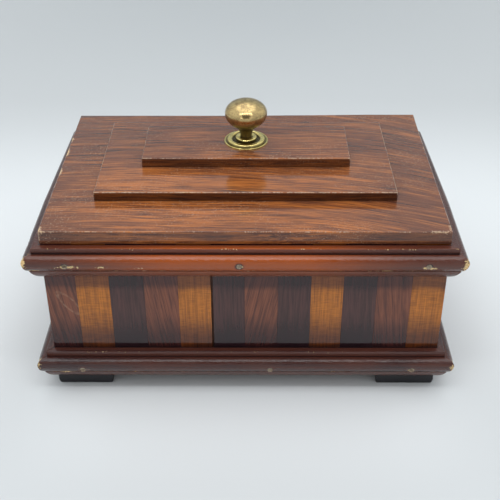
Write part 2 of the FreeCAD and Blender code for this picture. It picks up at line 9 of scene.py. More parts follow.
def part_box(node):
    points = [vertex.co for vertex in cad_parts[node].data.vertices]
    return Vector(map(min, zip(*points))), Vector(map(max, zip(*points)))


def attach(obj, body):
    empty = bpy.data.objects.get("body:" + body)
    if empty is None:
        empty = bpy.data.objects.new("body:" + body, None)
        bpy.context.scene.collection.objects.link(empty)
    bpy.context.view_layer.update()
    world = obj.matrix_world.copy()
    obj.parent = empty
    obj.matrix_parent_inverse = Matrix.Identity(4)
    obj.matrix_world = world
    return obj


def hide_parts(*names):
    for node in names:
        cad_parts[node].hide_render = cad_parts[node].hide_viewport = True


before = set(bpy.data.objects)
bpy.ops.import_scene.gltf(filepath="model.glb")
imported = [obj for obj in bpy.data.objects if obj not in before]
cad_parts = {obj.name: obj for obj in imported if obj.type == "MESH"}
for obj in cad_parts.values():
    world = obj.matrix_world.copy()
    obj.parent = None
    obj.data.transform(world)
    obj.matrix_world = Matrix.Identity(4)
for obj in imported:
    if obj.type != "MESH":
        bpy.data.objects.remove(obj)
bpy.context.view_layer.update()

bl_info = {
    "name": "Striped tea caddy",
    "version": (1, 0, 0),
    "blender": (4, 5, 0),
    "location": "3D View > Sidebar > Caddy",
    "description": "Finishes a hinged tea caddy: veneered lid, striped facings, mouldings and brass",
    "category": "Object",
}

MM = 0.001
FRONT_WOODS = (
    "brown", "light", "dark", "brown", "light", "dark",
    "brown", "dark", "light", "dark", "brown", "light",
)
SIDE_WOODS = ("brown", "light", "dark", "brown", "light", "dark", "brown", "light")
SIDES = (("front", (0, -1, 0)), ("left", (-1, 0, 0)), ("right", (1, 0, 0)))
SLANTS = (0.16, 0.0, 0.02, 0.14, 0.0, 0.02, -0.20, -0.02, 0.0, 0.02, 0.10, 0.0)


def colour(name, description, value):
    """A colour property with its default."""
    return FloatVectorProperty(
        name=name, description=description, subtype="COLOR", size=3, min=0, max=1, default=value
    )


def length(name, description, value):
    """A length property with its default, in metres."""
    return FloatProperty(
        name=name, description=description, default=value, min=0, unit="LENGTH", subtype="DISTANCE"
    )


class CaddyColours(bpy.types.PropertyGroup):
    """Colours of the woods, metals and surroundings."""

    lid_dark: colour("Lid figure", "Dark streaks of the lid's veneer", (0.060, 0.023, 0.017))
    lid_mid: colour("Lid ground", "Ground colour of the lid's veneer", (0.178, 0.060, 0.027))
    lid_light: colour("Lid light", "Light streaks of the lid's veneer", (0.350, 0.122, 0.037))
    lid_glow: colour("Lid glow", "Rubbed golden middle of the lid's veneer", (0.500, 0.160, 0.034))
    moulding_dark: colour("Moulding dark", "Dark stain of the mouldings", (0.031, 0.010, 0.011))
    moulding_light: colour("Moulding light", "Rubbed stain of the mouldings", (0.340, 0.070, 0.009))
    brown_dark: colour("Brown strip figure", "Dark lines of the brown strips", (0.105, 0.032, 0.020))
    brown_light: colour("Brown strip", "Ground of the brown strips", (0.228, 0.070, 0.034))
    light_dark: colour("Light strip flecks", "Flecks of the light strips", (0.246, 0.076, 0.009))
    light_light: colour("Light strip", "Ground of the light strips", (0.560, 0.180, 0.016))
    dark_dark: colour("Dark strip figure", "Dark lines of the dark strips", (0.044, 0.018, 0.017))
    dark_light: colour("Dark strip", "Ground of the dark strips", (0.086, 0.031, 0.028))
    bare_wood: colour("Bare wood", "Wood where the varnish has chipped", (0.900, 0.640, 0.300))
    rubbed_arris: colour("Rubbed arris", "Lid's edges rubbed of varnish", (0.520, 0.340, 0.210))
    back_wood: colour("Back board", "Varnished back of the case", (0.110, 0.040, 0.020))
    black_paint: colour("Feet", "Black paint of the feet", (0.006, 0.005, 0.008))
    brass: colour("Brass", "Clean brass of the knob", (0.640, 0.478, 0.218))
    rose_brass: colour("Rose", "Brighter brass of the knob's back plate", (0.820, 0.680, 0.260))
    brass_tarnish: colour("Tarnish", "Tarnish on the brass", (0.130, 0.084, 0.050))
    pin_metal: colour("Pins", "Dull metal of the moulding pins", (0.500, 0.410, 0.310))
    steel: colour("Steel", "Screws, stud and nut", (0.350, 0.340, 0.330))
    lining: colour("Lining", "Grey metal foil of the compartments", (0.300, 0.300, 0.310))
    backdrop: colour("Backdrop", "Pale floor and backdrop", (0.612, 0.645, 0.660))


class CaddySizes(bpy.types.PropertyGroup):
    """Sizes of the finished edges and of the wear, and how finely the pieces are divided."""

    ledge_width: length("Ledge width", "Flat top of a moulding", 4.6 * MM)
    ledge_drop: length("Ledge drop", "Upright fillet under the ledge", 3.9 * MM)
    nose_start: length("Nose start", "Where the half-round nose starts, out from the wall", 5.0 * MM)
    crown_drop: length("Crown drop", "Nose's crown below the ledge", 7.6 * MM)
    nose_foot: length("Nose foot", "Where the nose ends, out from the wall", 7.0 * MM)
    nose_drop: length("Nose drop", "Nose's end below the ledge", 14.5 * MM)
    quirk: length("Quirk", "Groove under the nose", 0.6 * MM)
    toe_radius: length("Toe radius", "Lower member of a moulding", 15.0 * MM)
    arris: length("Arris", "Softened edge of a moulding", 0.35 * MM)
    pitch: length("Pitch", "Spacing of the divisions that carry the wear", 1.0 * MM)
    board_round: length("Board edge", "Rounded edge of the lid's boards", 0.55 * MM)
    strip_round: length("Strip edge", "Softened edge of a facing strip", 0.16 * MM)
    foot_round: length("Foot edge", "Rounded edge of a foot", 1.5 * MM)
    chip_depth: length("Chip depth", "Depth of the chips in the varnish and wood", 0.35 * MM)
    turning_steps: IntProperty(
        name="Turning steps", description="Divisions around the knob", default=96, min=24
    )


# ---------------------------------------------------------------- meshes


def deselect():
    """Leave object mode with nothing selected."""
    if bpy.context.mode != "OBJECT":
        bpy.ops.object.mode_set(mode="OBJECT")
    bpy.ops.object.select_all(action="DESELECT")


def started(name):
    """Name the primitive that was just added and bring its place into its mesh."""
    piece = bpy.context.active_object
    piece.name = name
    piece.data.name = name
    bpy.ops.object.transform_apply(location=True, rotation=True, scale=True)
    return piece


def choose(*pieces):
    """Select these pieces alone, with the first one active."""
    deselect()
    for piece in pieces:
        piece.select_set(True)
    bpy.context.view_layer.objects.active = pieces[0]


def edit(piece, kind="EDGE"):
    """Open a piece in edit mode with nothing selected."""
    choose(piece)
    bpy.ops.object.mode_set(mode="EDIT")
    bpy.ops.mesh.select_mode(type=kind)
    bpy.ops.mesh.select_all(action="DESELECT")


def edit_edges(piece, wanted):
    """Open a piece in edit mode with the edges selected whose two ends are wanted."""
    edit(piece)
    bpy.ops.object.mode_set(mode="OBJECT")
    vertices = piece.data.vertices
    for edge in piece.data.edges:
        edge.select = wanted([vertices[end].co for end in edge.vertices])
    bpy.ops.object.mode_set(mode="EDIT")


def bevel_sharp(piece, width, segments, sharpness=math.radians(30)):
    """Round every sharp edge of a piece."""
    edit(piece)
    bpy.ops.mesh.edges_select_sharp(sharpness=sharpness)
    bpy.ops.mesh.bevel(offset=width, segments=segments, affect="EDGES")
    deselect()


def smooth(piece, angle=math.radians(40)):
    """Shade a piece smooth across its gentle edges."""
    choose(piece)
    bpy.ops.object.shade_smooth_by_angle(angle=angle)
    deselect()


def joined(pieces, name):
    """Join pieces into one and name it."""
    choose(*pieces)
    bpy.ops.object.join()
    piece = pieces[0]
    piece.name = piece.data.name = name
    smooth(piece)
    return piece


def outward(piece):
    """Merge doubles and turn every face outwards."""
    edit(piece)
    bpy.ops.mesh.select_all(action="SELECT")
    bpy.ops.mesh.remove_doubles(threshold=1e-6)
    bpy.ops.mesh.normals_make_consistent(inside=False)
    deselect()


def points_of(piece):
    """Return a piece's vertices as an array."""
    points = np.zeros(len(piece.data.vertices) * 3)
    piece.data.vertices.foreach_get("co", points)
    return points.reshape(-1, 3)


def move_points(piece, points):
    """Put a piece's vertices where the array says."""
    piece.data.vertices.foreach_set("co", points.ravel())
    piece.data.update()


def ripple(points, scale, seed):
    """Return smooth noise from about -1 to 1 at each point; scale is one number or three."""
    scaled = points * np.array(scale) + 17.3 * seed
    return np.array([noise.noise(Vector(point)) for point in scaled])


def write_value(piece, name, values):
    """Store a value of each vertex, from 0 to 1, for the material to read."""
    layer = piece.data.attributes.new(name, "FLOAT", "POINT")
    layer.data.foreach_set("value", np.clip(values, 0, 1).astype(np.float32))


def finish_piece(piece, material, body, slot, *nodes):
    """Give a piece its material and body, and hide the CAD nodes that it stands for; slot is not used.
    """
    piece.data.materials.clear()
    piece.data.materials.append(material)
    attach(piece, body)
    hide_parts(*nodes)


def coat_node(node, material):
    """Give a CAD node a material."""
    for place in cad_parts[node].material_slots:
        place.material = material


# ---------------------------------------------------------------- materials


class Value:
    """An output of a node, which takes part in sums as a number does."""

    def __init__(self, nodes, socket):
        self.nodes = nodes
        self.socket = socket

    def __add__(self, other):
        return self.nodes.math("ADD", self, other)

    def __sub__(self, other):
        return self.nodes.math("SUBTRACT", self, other)

    def __mul__(self, other):
        return self.nodes.math("MULTIPLY", self, other)

    def __abs__(self):
        return self.nodes.math("ABSOLUTE", self)


class Nodes:
    """A node tree being laid out, with short names for the nodes that it is made of."""

    def __init__(self, tree):
        self.tree = tree

    def node(self, kind, output, inputs, **settings):
        """Add a node with its settings and inputs, and return one of its outputs."""
        node = self.tree.nodes.new(kind)
        for name, setting in settings.items():
            setattr(node, name, setting)
        for name, value in inputs.items():
            self.feed(node.inputs[name], value)
        return Value(self, node.outputs[output])

    def feed(self, socket, value):
        """Link an output to a socket, or set the socket's own value."""
        if isinstance(value, Value):
            self.tree.links.new(value.socket, socket)
        else:
            socket.default_value = value

    def place(self, scale=(1, 1, 1), turn=(0, 0, 0), shift=(0, 0, 0), source=None):
        """Return object coordinates, or another vector, scaled, turned and shifted."""
        if source is None:
            source = self.node("ShaderNodeTexCoord", "Object", {})
        inputs = {"Vector": source, "Location": shift, "Rotation": turn, "Scale": scale}
        return self.node("ShaderNodeMapping", "Vector", inputs, vector_type="POINT")

    def noise(self, vector, scale=1, detail=2, rough=0.5):
        """Return noise from 0 to 1."""
        inputs = {"Vector": vector, "Scale": scale, "Detail": detail, "Roughness": rough}
        return self.node("ShaderNodeTexNoise", "Fac", inputs)

    def lines(self, vector, scale, width, detail=2):
        """Return 1 on thin wandering lines, along a noise's middle value, and 0 between them."""
        spread = self.place(scale=scale, source=vector)
        away = abs(self.noise(spread, detail=detail) - 0.5)
        return self.span(away, 0.2 * width, width, 1.0, 0.0)

    def math(self, operation, first, second=0.0):
        """Return one arithmetic step."""
        return self.node("ShaderNodeMath", "Value", {0: first, 1: second}, operation=operation)

    def span(self, value, low, high, start=0.0, end=1.0):
        """Map low to high smoothly onto start to end."""
        inputs = {"Value": value, "From Min": low, "From Max": high, "To Min": start, "To Max": end}
        return self.node("ShaderNodeMapRange", "Result", inputs, interpolation_type="SMOOTHSTEP")

    def blend(self, factor, first, second, kind="MIX"):
        """Mix two colours."""
        first, second = (
            colour if isinstance(colour, Value) else (*colour, 1) for colour in (first, second)
        )
        inputs = {0: factor, 6: first, 7: second}
        return self.node("ShaderNodeMix", 2, inputs, data_type="RGBA", blend_type=kind)

    def part(self, vector, letter):
        """Return one coordinate of a vector."""
        return self.node("ShaderNodeSeparateXYZ", letter, {"Vector": vector})

    def parts(self, vector):
        """Return the three coordinates of a vector."""
        return [self.part(vector, letter) for letter in "XYZ"]

    def vector(self, x, y, z):
        """Return the vector of three coordinates."""
        return self.node("ShaderNodeCombineXYZ", "Vector", {"X": x, "Y": y, "Z": z})

    def towards(self, vector, way):
        """Return how far a vector points along a direction."""
        return self.node("ShaderNodeVectorMath", "Value", {0: vector, 1: way}, operation="DOT_PRODUCT")

    def attribute(self, name):
        """Return a stored value of the mesh."""
        return self.node("ShaderNodeAttribute", "Fac", {}, attribute_name=name)

    def bump(self, height, distance, strength):
        """Return a normal from a height."""
        inputs = {"Height": height, "Distance": distance, "Strength": strength}
        return self.node("ShaderNodeBump", "Normal", inputs)


class Finish(Nodes):
    """A material being laid out."""

    def __init__(self, name):
        self.material = bpy.data.materials.new(name)
        self.material.use_nodes = True
        super().__init__(self.material.node_tree)

    def surface(self, base, roughness, normal, metallic=0.0, coat=0.0, coat_roughness=0.1):
        """Feed the shader and return the finished material."""
        shader = self.tree.nodes["Principled BSDF"]
        for name, value in (
            ("Base Color", base),
            ("Roughness", roughness),
            ("Normal", normal),
            ("Metallic", metallic),
            ("Coat Weight", coat),
            ("Coat Roughness", coat_roughness),
        ):
            self.feed(shader.inputs[name], value)
        return self.material


def chipped(finish, base, roughness, bare, seed):
    """Lay bare wood open where the mesh is worn, and return the colour and the roughness."""
    grit = finish.noise(finish.place(shift=(seed, 0, 0)), scale=1000, detail=3, rough=0.6)
    wear = finish.attribute("wear") + finish.span(grit, 0.25, 0.75, -0.38, 0.38)
    mask = finish.span(wear, 0.46, 0.56)
    darker = [0.62 * channel for channel in bare]
    mottled = finish.span(finish.noise(finish.place(), scale=700), 0.35, 0.65)
    worn = finish.blend(mask, base, finish.blend(mottled, darker, bare))
    return worn, roughness + mask * 0.35


def swept_grain(finish, slant, sweep, seed, flat):
    """Coordinates that bend across X, so that grain along X sweeps over the flat top."""
    x, y, z = finish.parts(finish.place())
    rightward = finish.math("MAXIMUM", x, x * 0.35)
    wander = finish.noise(finish.place(scale=(8, 9, 9), shift=(seed, 2, 0)), detail=1)
    across = y + (x * slant + x * rightward * sweep) * flat + wander * 0.016
    return finish.place(shift=(seed, 0.3 * seed, 0), source=finish.vector(x, across, z))


def streaked(finish, swept, cloud):
    """Streaks of three finenesses and their colour, golden where the middle is rubbed."""
    colours = bpy.context.scene.caddy_colours
    tone = 0.0
    for scale, share in (((4, 48, 45), 0.20), ((10, 340, 280), 0.38), ((36, 800, 700), 0.42)):
        layer = finish.noise(finish.place(scale=scale, source=swept), detail=3, rough=0.6)
        tone = layer * share + tone
    base = finish.blend(finish.span(tone, 0.385, 0.485), colours.lid_dark, colours.lid_mid)
    base = finish.blend(finish.span(tone, 0.50, 0.60), base, colours.lid_light)
    glow = finish.blend(finish.span(tone, 0.40, 0.58), colours.lid_mid, colours.lid_glow)
    place = finish.place()
    aside = abs(finish.part(place, "X") + 0.010)
    near_front = finish.span(finish.part(place, "Y"), -0.03, 0.02, 1.0, 0.0)
    rubbed = near_front * finish.span(aside, 0.055, 0.125, 1.0, 0.0)
    return tone, finish.blend(rubbed * finish.span(cloud, 0.30, 0.55, 0.65, 1.0), base, glow)


def lid_veneer(name, slant, sweep, seed, top, shade):
    """Figured red-brown veneer under a glossy old varnish; the figure sweeps across in X."""
    colours = bpy.context.scene.caddy_colours
    finish = Finish(name)
    z = finish.part(finish.place(), "Z")
    arris = top - 0.9 * MM, top - 0.3 * MM
    flat = finish.span(z, *arris)
    swept = swept_grain(finish, slant, sweep, seed, flat)
    cloud = finish.noise(finish.place(scale=(14, 20, 20), shift=(seed, 7, 0)), detail=2)
    tone, base = streaked(finish, swept, cloud)
    patchy = finish.noise(finish.place(scale=(12, 40, 40), source=swept), detail=1)
    strong = finish.lines(swept, (6, 170, 150), 0.028, 3)
    strong = strong * finish.span(patchy, 0.40, 0.60, 0.15, 0.60) * finish.span(flat, 0.0, 1.0, 0.3)
    thin = finish.lines(swept, (14, 420, 380), 0.040, 2)
    thin = thin * finish.span(patchy, 0.35, 0.60, 0.60, 0.30)
    base = finish.blend(finish.math("MAXIMUM", strong, thin), base, colours.lid_dark)
    pores = finish.noise(finish.place(scale=(60, 1150, 1000), source=swept), detail=2)
    base = finish.blend(finish.span(pores, 0.54, 0.64, 0.0, 0.6), base, colours.lid_dark)
    # Pale specks, most where the cloud is high.
    speck_noise = finish.noise(finish.place(), scale=1300, detail=1)
    pale_specks = finish.span(speck_noise, 0.62, 0.70) * finish.span(cloud, 0.35, 0.65, 0.1, 0.6)
    base = finish.blend(pale_specks, base, colours.rubbed_arris)
    base = finish.blend(finish.span(z, *arris, shade, 0.0), base, (0.22, 0.18, 0.20), "MULTIPLY")
    rough = finish.span(cloud, 0.3, 0.7, 0.09, 0.16)
    base, rough = chipped(finish, base, rough, colours.rubbed_arris, seed)
    bare = finish.span(finish.attribute("wear"), 0.78, 0.95, 0.0, 0.8)
    base = finish.blend(bare, base, colours.bare_wood)
    normal = finish.bump(tone * 0.8 + pores * -0.6, 0.00006, 0.5)
    return finish.surface(base, rough, normal, coat=0.2, coat_roughness=0.08)


def moulding_stain(name, level, side, seed):
    """Dark red stain, rubbed to orange on the rim's middle, with painted shade in its creases and gaps
    and dark mitre joints.
    """
    colours = bpy.context.scene.caddy_colours
    finish = Finish(name)
    along = "X" if side == "front" else "Y"
    scale = (8, 500, 500) if along == "X" else (500, 8, 500)
    grain = finish.noise(finish.place(scale=scale, shift=(seed, seed, 0)), detail=4, rough=0.6)
    patch = finish.noise(finish.place(scale=(22, 22, 30), shift=(seed, 1, 0)), detail=2)
    tone = grain * 0.6 + patch * 0.4
    warmth = finish.span(tone, 0.36, 0.60)
    if level == "rim" and side == "front":
        middle = abs(finish.part(finish.place(), along) + 0.004)
        rubbed = finish.span(middle, 0.03, 0.118, 0.84, 0.10)
        warmth = rubbed + finish.span(middle, 0.05, 0.118, 0.28, 0.12) * warmth
    else:
        warmth = warmth * 0.14
    base = finish.blend(warmth, colours.moulding_dark, colours.moulding_light)
    # The stored value paints shade, brown and then near black where it is deepest, and darkens the
    # mitre joints.
    dirt_and_shade = finish.attribute("dirt_and_shade")
    base = finish.blend(dirt_and_shade * 0.85, base, colours.brown_dark)
    base = finish.blend(finish.span(dirt_and_shade, 0.80, 1.0, 0.0, 0.9), base, colours.black_paint)
    rough = finish.span(patch, 0.3, 0.7, 0.11, 0.16)
    base, rough = chipped(finish, base, rough, colours.bare_wood, seed)
    fine = finish.noise(finish.place(), scale=900, detail=2)
    height = fine + grain * 0.4
    normal = finish.bump(height, 0.00045, 0.8)
    return finish.surface(base, rough, normal, coat=0.12, coat_roughness=0.12)


def strip_wood(name, kind, slant, seed, face="X"):
    """Upright strip of brown, light or dark wood; painted shade darkens its ends under the mouldings.
    """
    colours = bpy.context.scene.caddy_colours
    dark = getattr(colours, f"{kind}_dark")
    light = getattr(colours, f"{kind}_light")
    finish = Finish(name)
    turn = (0, slant, 0) if face == "X" else (slant, 0, 0)
    upright = finish.place(turn=turn, shift=(0.11 * seed, 0.07 * seed, 0))
    figure = finish.noise(finish.place(scale=(800, 800, 20), source=upright), detail=3, rough=0.65)
    fibres = finish.noise(finish.place(scale=(1300, 1300, 45), source=upright), detail=3, rough=0.65)
    if kind == "light":
        flecks = finish.noise(finish.place(scale=(160, 160, 1250), source=upright), detail=3)
        tone = figure * 0.30 + fibres * 0.42 + flecks * 0.28
    else:
        tone = figure * 0.45 + fibres * 0.55
    soft = 0.04 if kind == "light" else 0.0
    base = finish.blend(finish.span(tone, 0.41 - soft, 0.57 + soft), dark, light)
    strength = {"light": 0.14, "brown": 0.40, "dark": 0.25}[kind]
    grain = finish.lines(upright, (900, 900, 16), 0.055) * strength
    base = finish.blend(grain, base, [0.45 * channel for channel in dark])
    cloud = finish.noise(finish.place(scale=(60, 60, 90), shift=(seed, 0, 0)), detail=2)
    # Painted shade and reflection at the ends under the mouldings.
    base = painted_end_shade(finish, base, cloud)
    if name == "Front strip 1":
        base = scuffed(finish, base, colours.rubbed_arris)
    rough = finish.span(cloud, 0.3, 0.7, 0.11, 0.18)
    normal = finish.bump(fibres + figure, 0.00005, 0.5)
    return finish.surface(base, rough, normal, coat=0.12, coat_roughness=0.08)


def painted_end_shade(finish, base, cloud):
    """Paint shade on a strip towards the mouldings: the rim's shadow at its head, painted shade and
    reflection with some grime at its foot, and a near-black painted reflection just above the base
    moulding.
    """
    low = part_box("base_moulding_front")[1].z
    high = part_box("rim_moulding_front")[0].z
    z = finish.part(finish.place(), "Z") + cloud * (8 * MM)
    # foot and head are painted shade; the darkest band just above the base moulding is a painted
    # reflection.
    foot = finish.span(z, low + 10 * MM, low + 36 * MM, 1.0, 0.0)
    head = finish.span(z, high - 8 * MM, high - 2 * MM, 0.0, 0.95)
    painted_dark_reflection = finish.span(z, low + 4 * MM, low + 8 * MM, 0.6, 0.0)
    base = finish.blend(foot, base, (0.24, 0.18, 0.32), "MULTIPLY")
    base = finish.blend(head, base, (0.36, 0.30, 0.45), "MULTIPLY")
    return finish.blend(painted_dark_reflection, base, bpy.context.scene.caddy_colours.black_paint)


def scuffed(finish, base, paler):
    """Rub a faint slanting loop into the polish of the first strip."""
    centred = finish.place(shift=(0.1115, 0, -0.0665))
    slanted = finish.place(turn=(0, math.radians(38), 0), source=centred)
    loop = finish.place(scale=(1 / 0.0034, 0, 1 / 0.0100), source=slanted)
    across, up = finish.part(loop, "X"), finish.part(loop, "Z")
    squares = across * across + up * up
    ring = abs(finish.math("SQRT", squares) - 1.0)
    broken = finish.noise(finish.place(), scale=260, detail=3)
    mark = finish.span(ring, 0.06, 0.26, 1.0, 0.0) * finish.span(broken, 0.35, 0.6, 0.05, 0.24)
    return finish.blend(mark, base, paler)


def plain_wood(name, base_colour, scale, gloss, seed):
    """Straight-grained wood for the boards that carry no veneer."""
    finish = Finish(name)
    grain = finish.noise(finish.place(scale=scale, shift=(seed, 0, 0)), detail=4, rough=0.6)
    cloud = finish.noise(finish.place(scale=(20, 20, 20), shift=(seed, 5, 0)), detail=2)
    darker = [0.55 * channel for channel in base_colour]
    base = finish.blend(finish.span(grain, 0.35, 0.65), darker, base_colour)
    base = finish.blend(finish.span(cloud, 0.35, 0.75, 0.0, 0.35), base, darker)
    normal = finish.bump(grain, 0.00015, 0.5)
    return finish.surface(base, 0.75 - 0.45 * gloss, normal, coat=0.4 * gloss, coat_roughness=0.15)


def old_brass(name, base_colour, tarnish, polish, stain, seed):
    """Brass with mottled tarnish and fine scratches."""
    finish = Finish(name)
    blotch = finish.noise(finish.place(shift=(seed, 0, 0)), scale=210, detail=5, rough=0.68)
    specks = finish.noise(finish.place(shift=(0, seed, 0)), scale=1500, detail=3, rough=0.7)
    mask = blotch * 0.6 + specks * 0.4
    base = finish.blend(finish.span(mask, 0.42, 0.60, 0.0, stain), base_colour, tarnish)
    # The stored value darkens the brass: patina in the rose's recess and on its brim, grime in the
    # pins' slots and dishes, painted shade on the knob's neck and lower half.
    dirt_and_shade = finish.attribute("dirt_and_shade")
    black = [0.15 * channel for channel in tarnish]
    base = finish.blend(dirt_and_shade * 0.92, base, black)
    rough = finish.span(mask, 0.35, 0.7, 0.34 - 0.16 * polish, 0.48 - 0.14 * polish)
    rough = rough + dirt_and_shade * 0.2
    normal = finish.bump(specks, 0.00005, 0.35)
    return finish.surface(base, rough, normal, metallic=1.0)


def painted_black(name):
    """Black paint on the block feet, rubbed a little."""
    colours = bpy.context.scene.caddy_colours
    finish = Finish(name)
    rub = finish.noise(finish.place(), scale=160, detail=4, rough=0.6)
    brown = [3.0 * channel for channel in colours.black_paint]
    base = finish.blend(finish.span(rub, 0.55, 0.8), colours.black_paint, brown)
    normal = finish.bump(rub, 0.0002, 0.4)
    return finish.surface(base, finish.span(rub, 0.3, 0.7, 0.30, 0.45), normal)


def dull_metal(name, base_colour, rough, seed):
    """Steel or foil, mottled and a little dull."""
    finish = Finish(name)
    cloud = finish.noise(finish.place(shift=(seed, 0, 0)), scale=70, detail=5, rough=0.65)
    dimmer = [0.6 * channel for channel in base_colour]
    base = finish.blend(finish.span(cloud, 0.35, 0.7), base_colour, dimmer)
    normal = finish.bump(cloud, 0.0006, 0.3)
    return finish.surface(base, finish.span(cloud, 0.3, 0.7, rough, rough + 0.15), normal, metallic=1.0)


# ---------------------------------------------------------------- shapes


def arc(start, end, radius, steps):
    """Points of an arc, round towards the left of the way from start to end, without the start."""
    start, end = Vector(start), Vector(end)
    chord = end - start
    side = Vector((-chord.y, chord.x)).normalized()
    rise = math.sqrt(radius ** 2 - (chord.length / 2) ** 2)
    centre = (start + end) / 2 - side * rise
    first = math.atan2(start.y - centre.y, start.x - centre.x)
    turn = 2 * math.asin(chord.length / 2 / radius)
    angles = [first - turn * step / steps for step in range(1, steps + 1)]
    return [centre + radius * Vector((math.cos(angle), math.sin(angle))) for angle in angles]


def crown_radius(crown, end_out, end_drop):
    """Radius of an arc from a nose's crown, whose centre is level with the crown."""
    return (end_drop ** 2 + (crown - end_out) ** 2) / (2 * (crown - end_out))


def section(height):
    """A moulding's section as points (out from the wall, up from its foot), from the flat top."""
    sizes = bpy.context.scene.caddy_sizes
    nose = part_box("rim_moulding_left")[1].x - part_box("rim_moulding_left")[0].x
    soft = sizes.arris
    ledge = height - sizes.ledge_drop
    crown = Vector((nose, height - sizes.crown_drop))
    foot = Vector((sizes.nose_foot, height - sizes.nose_drop))
    points = [Vector((0, height)), Vector((sizes.ledge_width - soft, height))]
    points += arc(points[-1], (sizes.ledge_width, height - soft), soft, 3)
    points += [Vector((sizes.ledge_width, (height + ledge) / 2)), Vector((sizes.ledge_width, ledge))]
    points += [Vector((sizes.nose_start, ledge))]
    upper = crown_radius(nose, sizes.nose_start, sizes.crown_drop - sizes.ledge_drop)
    points += arc(points[-1], crown, upper, 9)
    points += arc(crown, foot, crown_radius(nose, foot.x, crown.y - foot.y), 9)
    quirk = sizes.quirk
    points += [foot - Vector((quirk, quirk / 2)), foot - Vector((quirk / 2, quirk))]
    points += arc(points[-1], (0, 0), sizes.toe_radius, 10)
    return points


def run_of_moulding(name, start, end, out, height):
    """A run of moulding: a fine edge along the wall, extruded around the section."""
    pitch = bpy.context.scene.caddy_sizes.pitch
    middle, way = (start + end) / 2, end - start
    bpy.ops.mesh.primitive_grid_add(
        x_subdivisions=round(way.length / pitch),
        y_subdivisions=1,
        size=1,
        location=middle,
        rotation=(0, 0, math.atan2(way.y, way.x)),
    )
    bpy.context.active_object.scale = (way.length, pitch, 1)
    piece = started(name)
    edit(piece, "VERT")
    bpy.ops.object.mode_set(mode="OBJECT")
    for vertex in piece.data.vertices:
        vertex.select = (vertex.co - middle).dot(out) > 0
    bpy.ops.object.mode_set(mode="EDIT")
    bpy.ops.mesh.delete(type="VERT")
    bpy.ops.mesh.select_all(action="SELECT")
    bpy.ops.transform.translate(value=out * pitch / 2 + Vector((0, 0, height)))
    points = section(height)
    for before, after in zip(points, points[1:] + points[:1]):
        step = after - before
        value = out * step.x + Vector((0, 0, step.y))
        bpy.ops.mesh.extrude_region_move(TRANSFORM_OT_translate={"value": value})
    outward(piece)
    return piece


def cut_off(piece, place, normal):
    """Cut away what lies beyond a plane and close the cut."""
    edit(piece)
    bpy.ops.mesh.select_all(action="SELECT")
    bpy.ops.mesh.bisect(plane_co=place, plane_no=normal, use_fill=True, clear_outer=True)
    deselect()


def carve(piece, tools):
    """Subtract tools from a piece and remove them."""
    for tool in tools:
        choose(piece)
        modifier = piece.modifiers.new("Carve", "BOOLEAN")
        modifier.operation = "DIFFERENCE"
        modifier.solver = "EXACT"
        modifier.object = tool
        bpy.ops.object.modifier_apply(modifier=modifier.name)
        bpy.data.objects.remove(tool)


def drill(place, way, radius, depth):
    """A round tool whose end is at a place, lying along a direction."""
    turn = Vector((0, 0, 1)).rotation_difference(way).to_euler()
    bpy.ops.mesh.primitive_cylinder_add(
        vertices=20, radius=radius, depth=depth, location=place, rotation=turn
    )
    return started("Drill")


def router(low, high):
    """A square tool between two corners."""
    bpy.ops.mesh.primitive_cube_add(size=1, location=(low + high) / 2)
    bpy.context.active_object.scale = high - low
    return started("Router")


def fine_block(name, low, high, pitch):
    """A block divided finely: a grid extruded down course by course."""
    size, middle = high - low, (low + high) / 2
    bpy.ops.mesh.primitive_grid_add(
        x_subdivisions=max(2, round(size.x / pitch)),
        y_subdivisions=max(2, round(size.y / pitch)),
        size=1,
        location=(middle.x, middle.y, high.z),
    )
    bpy.context.active_object.scale = (size.x, size.y, 1)
    piece = started(name)
    edit(piece, "FACE")
    bpy.ops.mesh.select_all(action="SELECT")
    courses = max(3, round(size.z / pitch))
    step = Vector((0, 0, -size.z / courses))
    for _ in range(courses):
        bpy.ops.mesh.extrude_region_move(TRANSFORM_OT_translate={"value": step})
    bpy.ops.mesh.dissolve_faces()
    outward(piece)
    return piece


def turned(name, axis, rings, steps):
    """A closed turning: a filled circle extruded ring by ring, each given as (radius, height)."""
    radius, height = rings[0]
    bpy.ops.mesh.primitive_circle_add(
        vertices=steps, radius=radius, fill_type="NGON", location=(axis.x, axis.y, height)
    )
    piece = started(name)
    edit(piece, "FACE")
    bpy.ops.mesh.select_all(action="SELECT")
    for wider, higher in rings[1:]:
        step = Vector((0, 0, higher - height))
        bpy.ops.mesh.extrude_region_move(TRANSFORM_OT_translate={"value": step})
        factor = wider / radius
        bpy.ops.transform.resize(
            value=(factor, factor, 1), center_override=(axis.x, axis.y, higher)
        )
        radius, height = wider, higher
    outward(piece)
    return piece


# ---------------------------------------------------------------- wear


def ramp(values, start, end):
    """0 before start and 1 past end, straight between them; end may be the lower of the two."""
    return np.clip((values - start) / (end - start), 0, 1)


def peak(values, place, reach):
    """1 at a place, falling to 0 at a reach to either side of it."""
    return np.clip(1 - np.abs(values - place) / reach, 0, 1)


def unit(ways):
    """Directions brought to length 1; one of no length stays as it is."""
    return ways / (np.linalg.norm(ways, axis=1)[:, None] + 1e-9)


def edge_wear(points, low, high, reach):
    """How near each point of a block is to its arrises, 1 on one and 0 from reach away."""
    gaps = np.minimum(points - np.array(low), np.array(high) - points)
    return ramp(np.sort(gaps, axis=1)[:, 1], reach, 0)


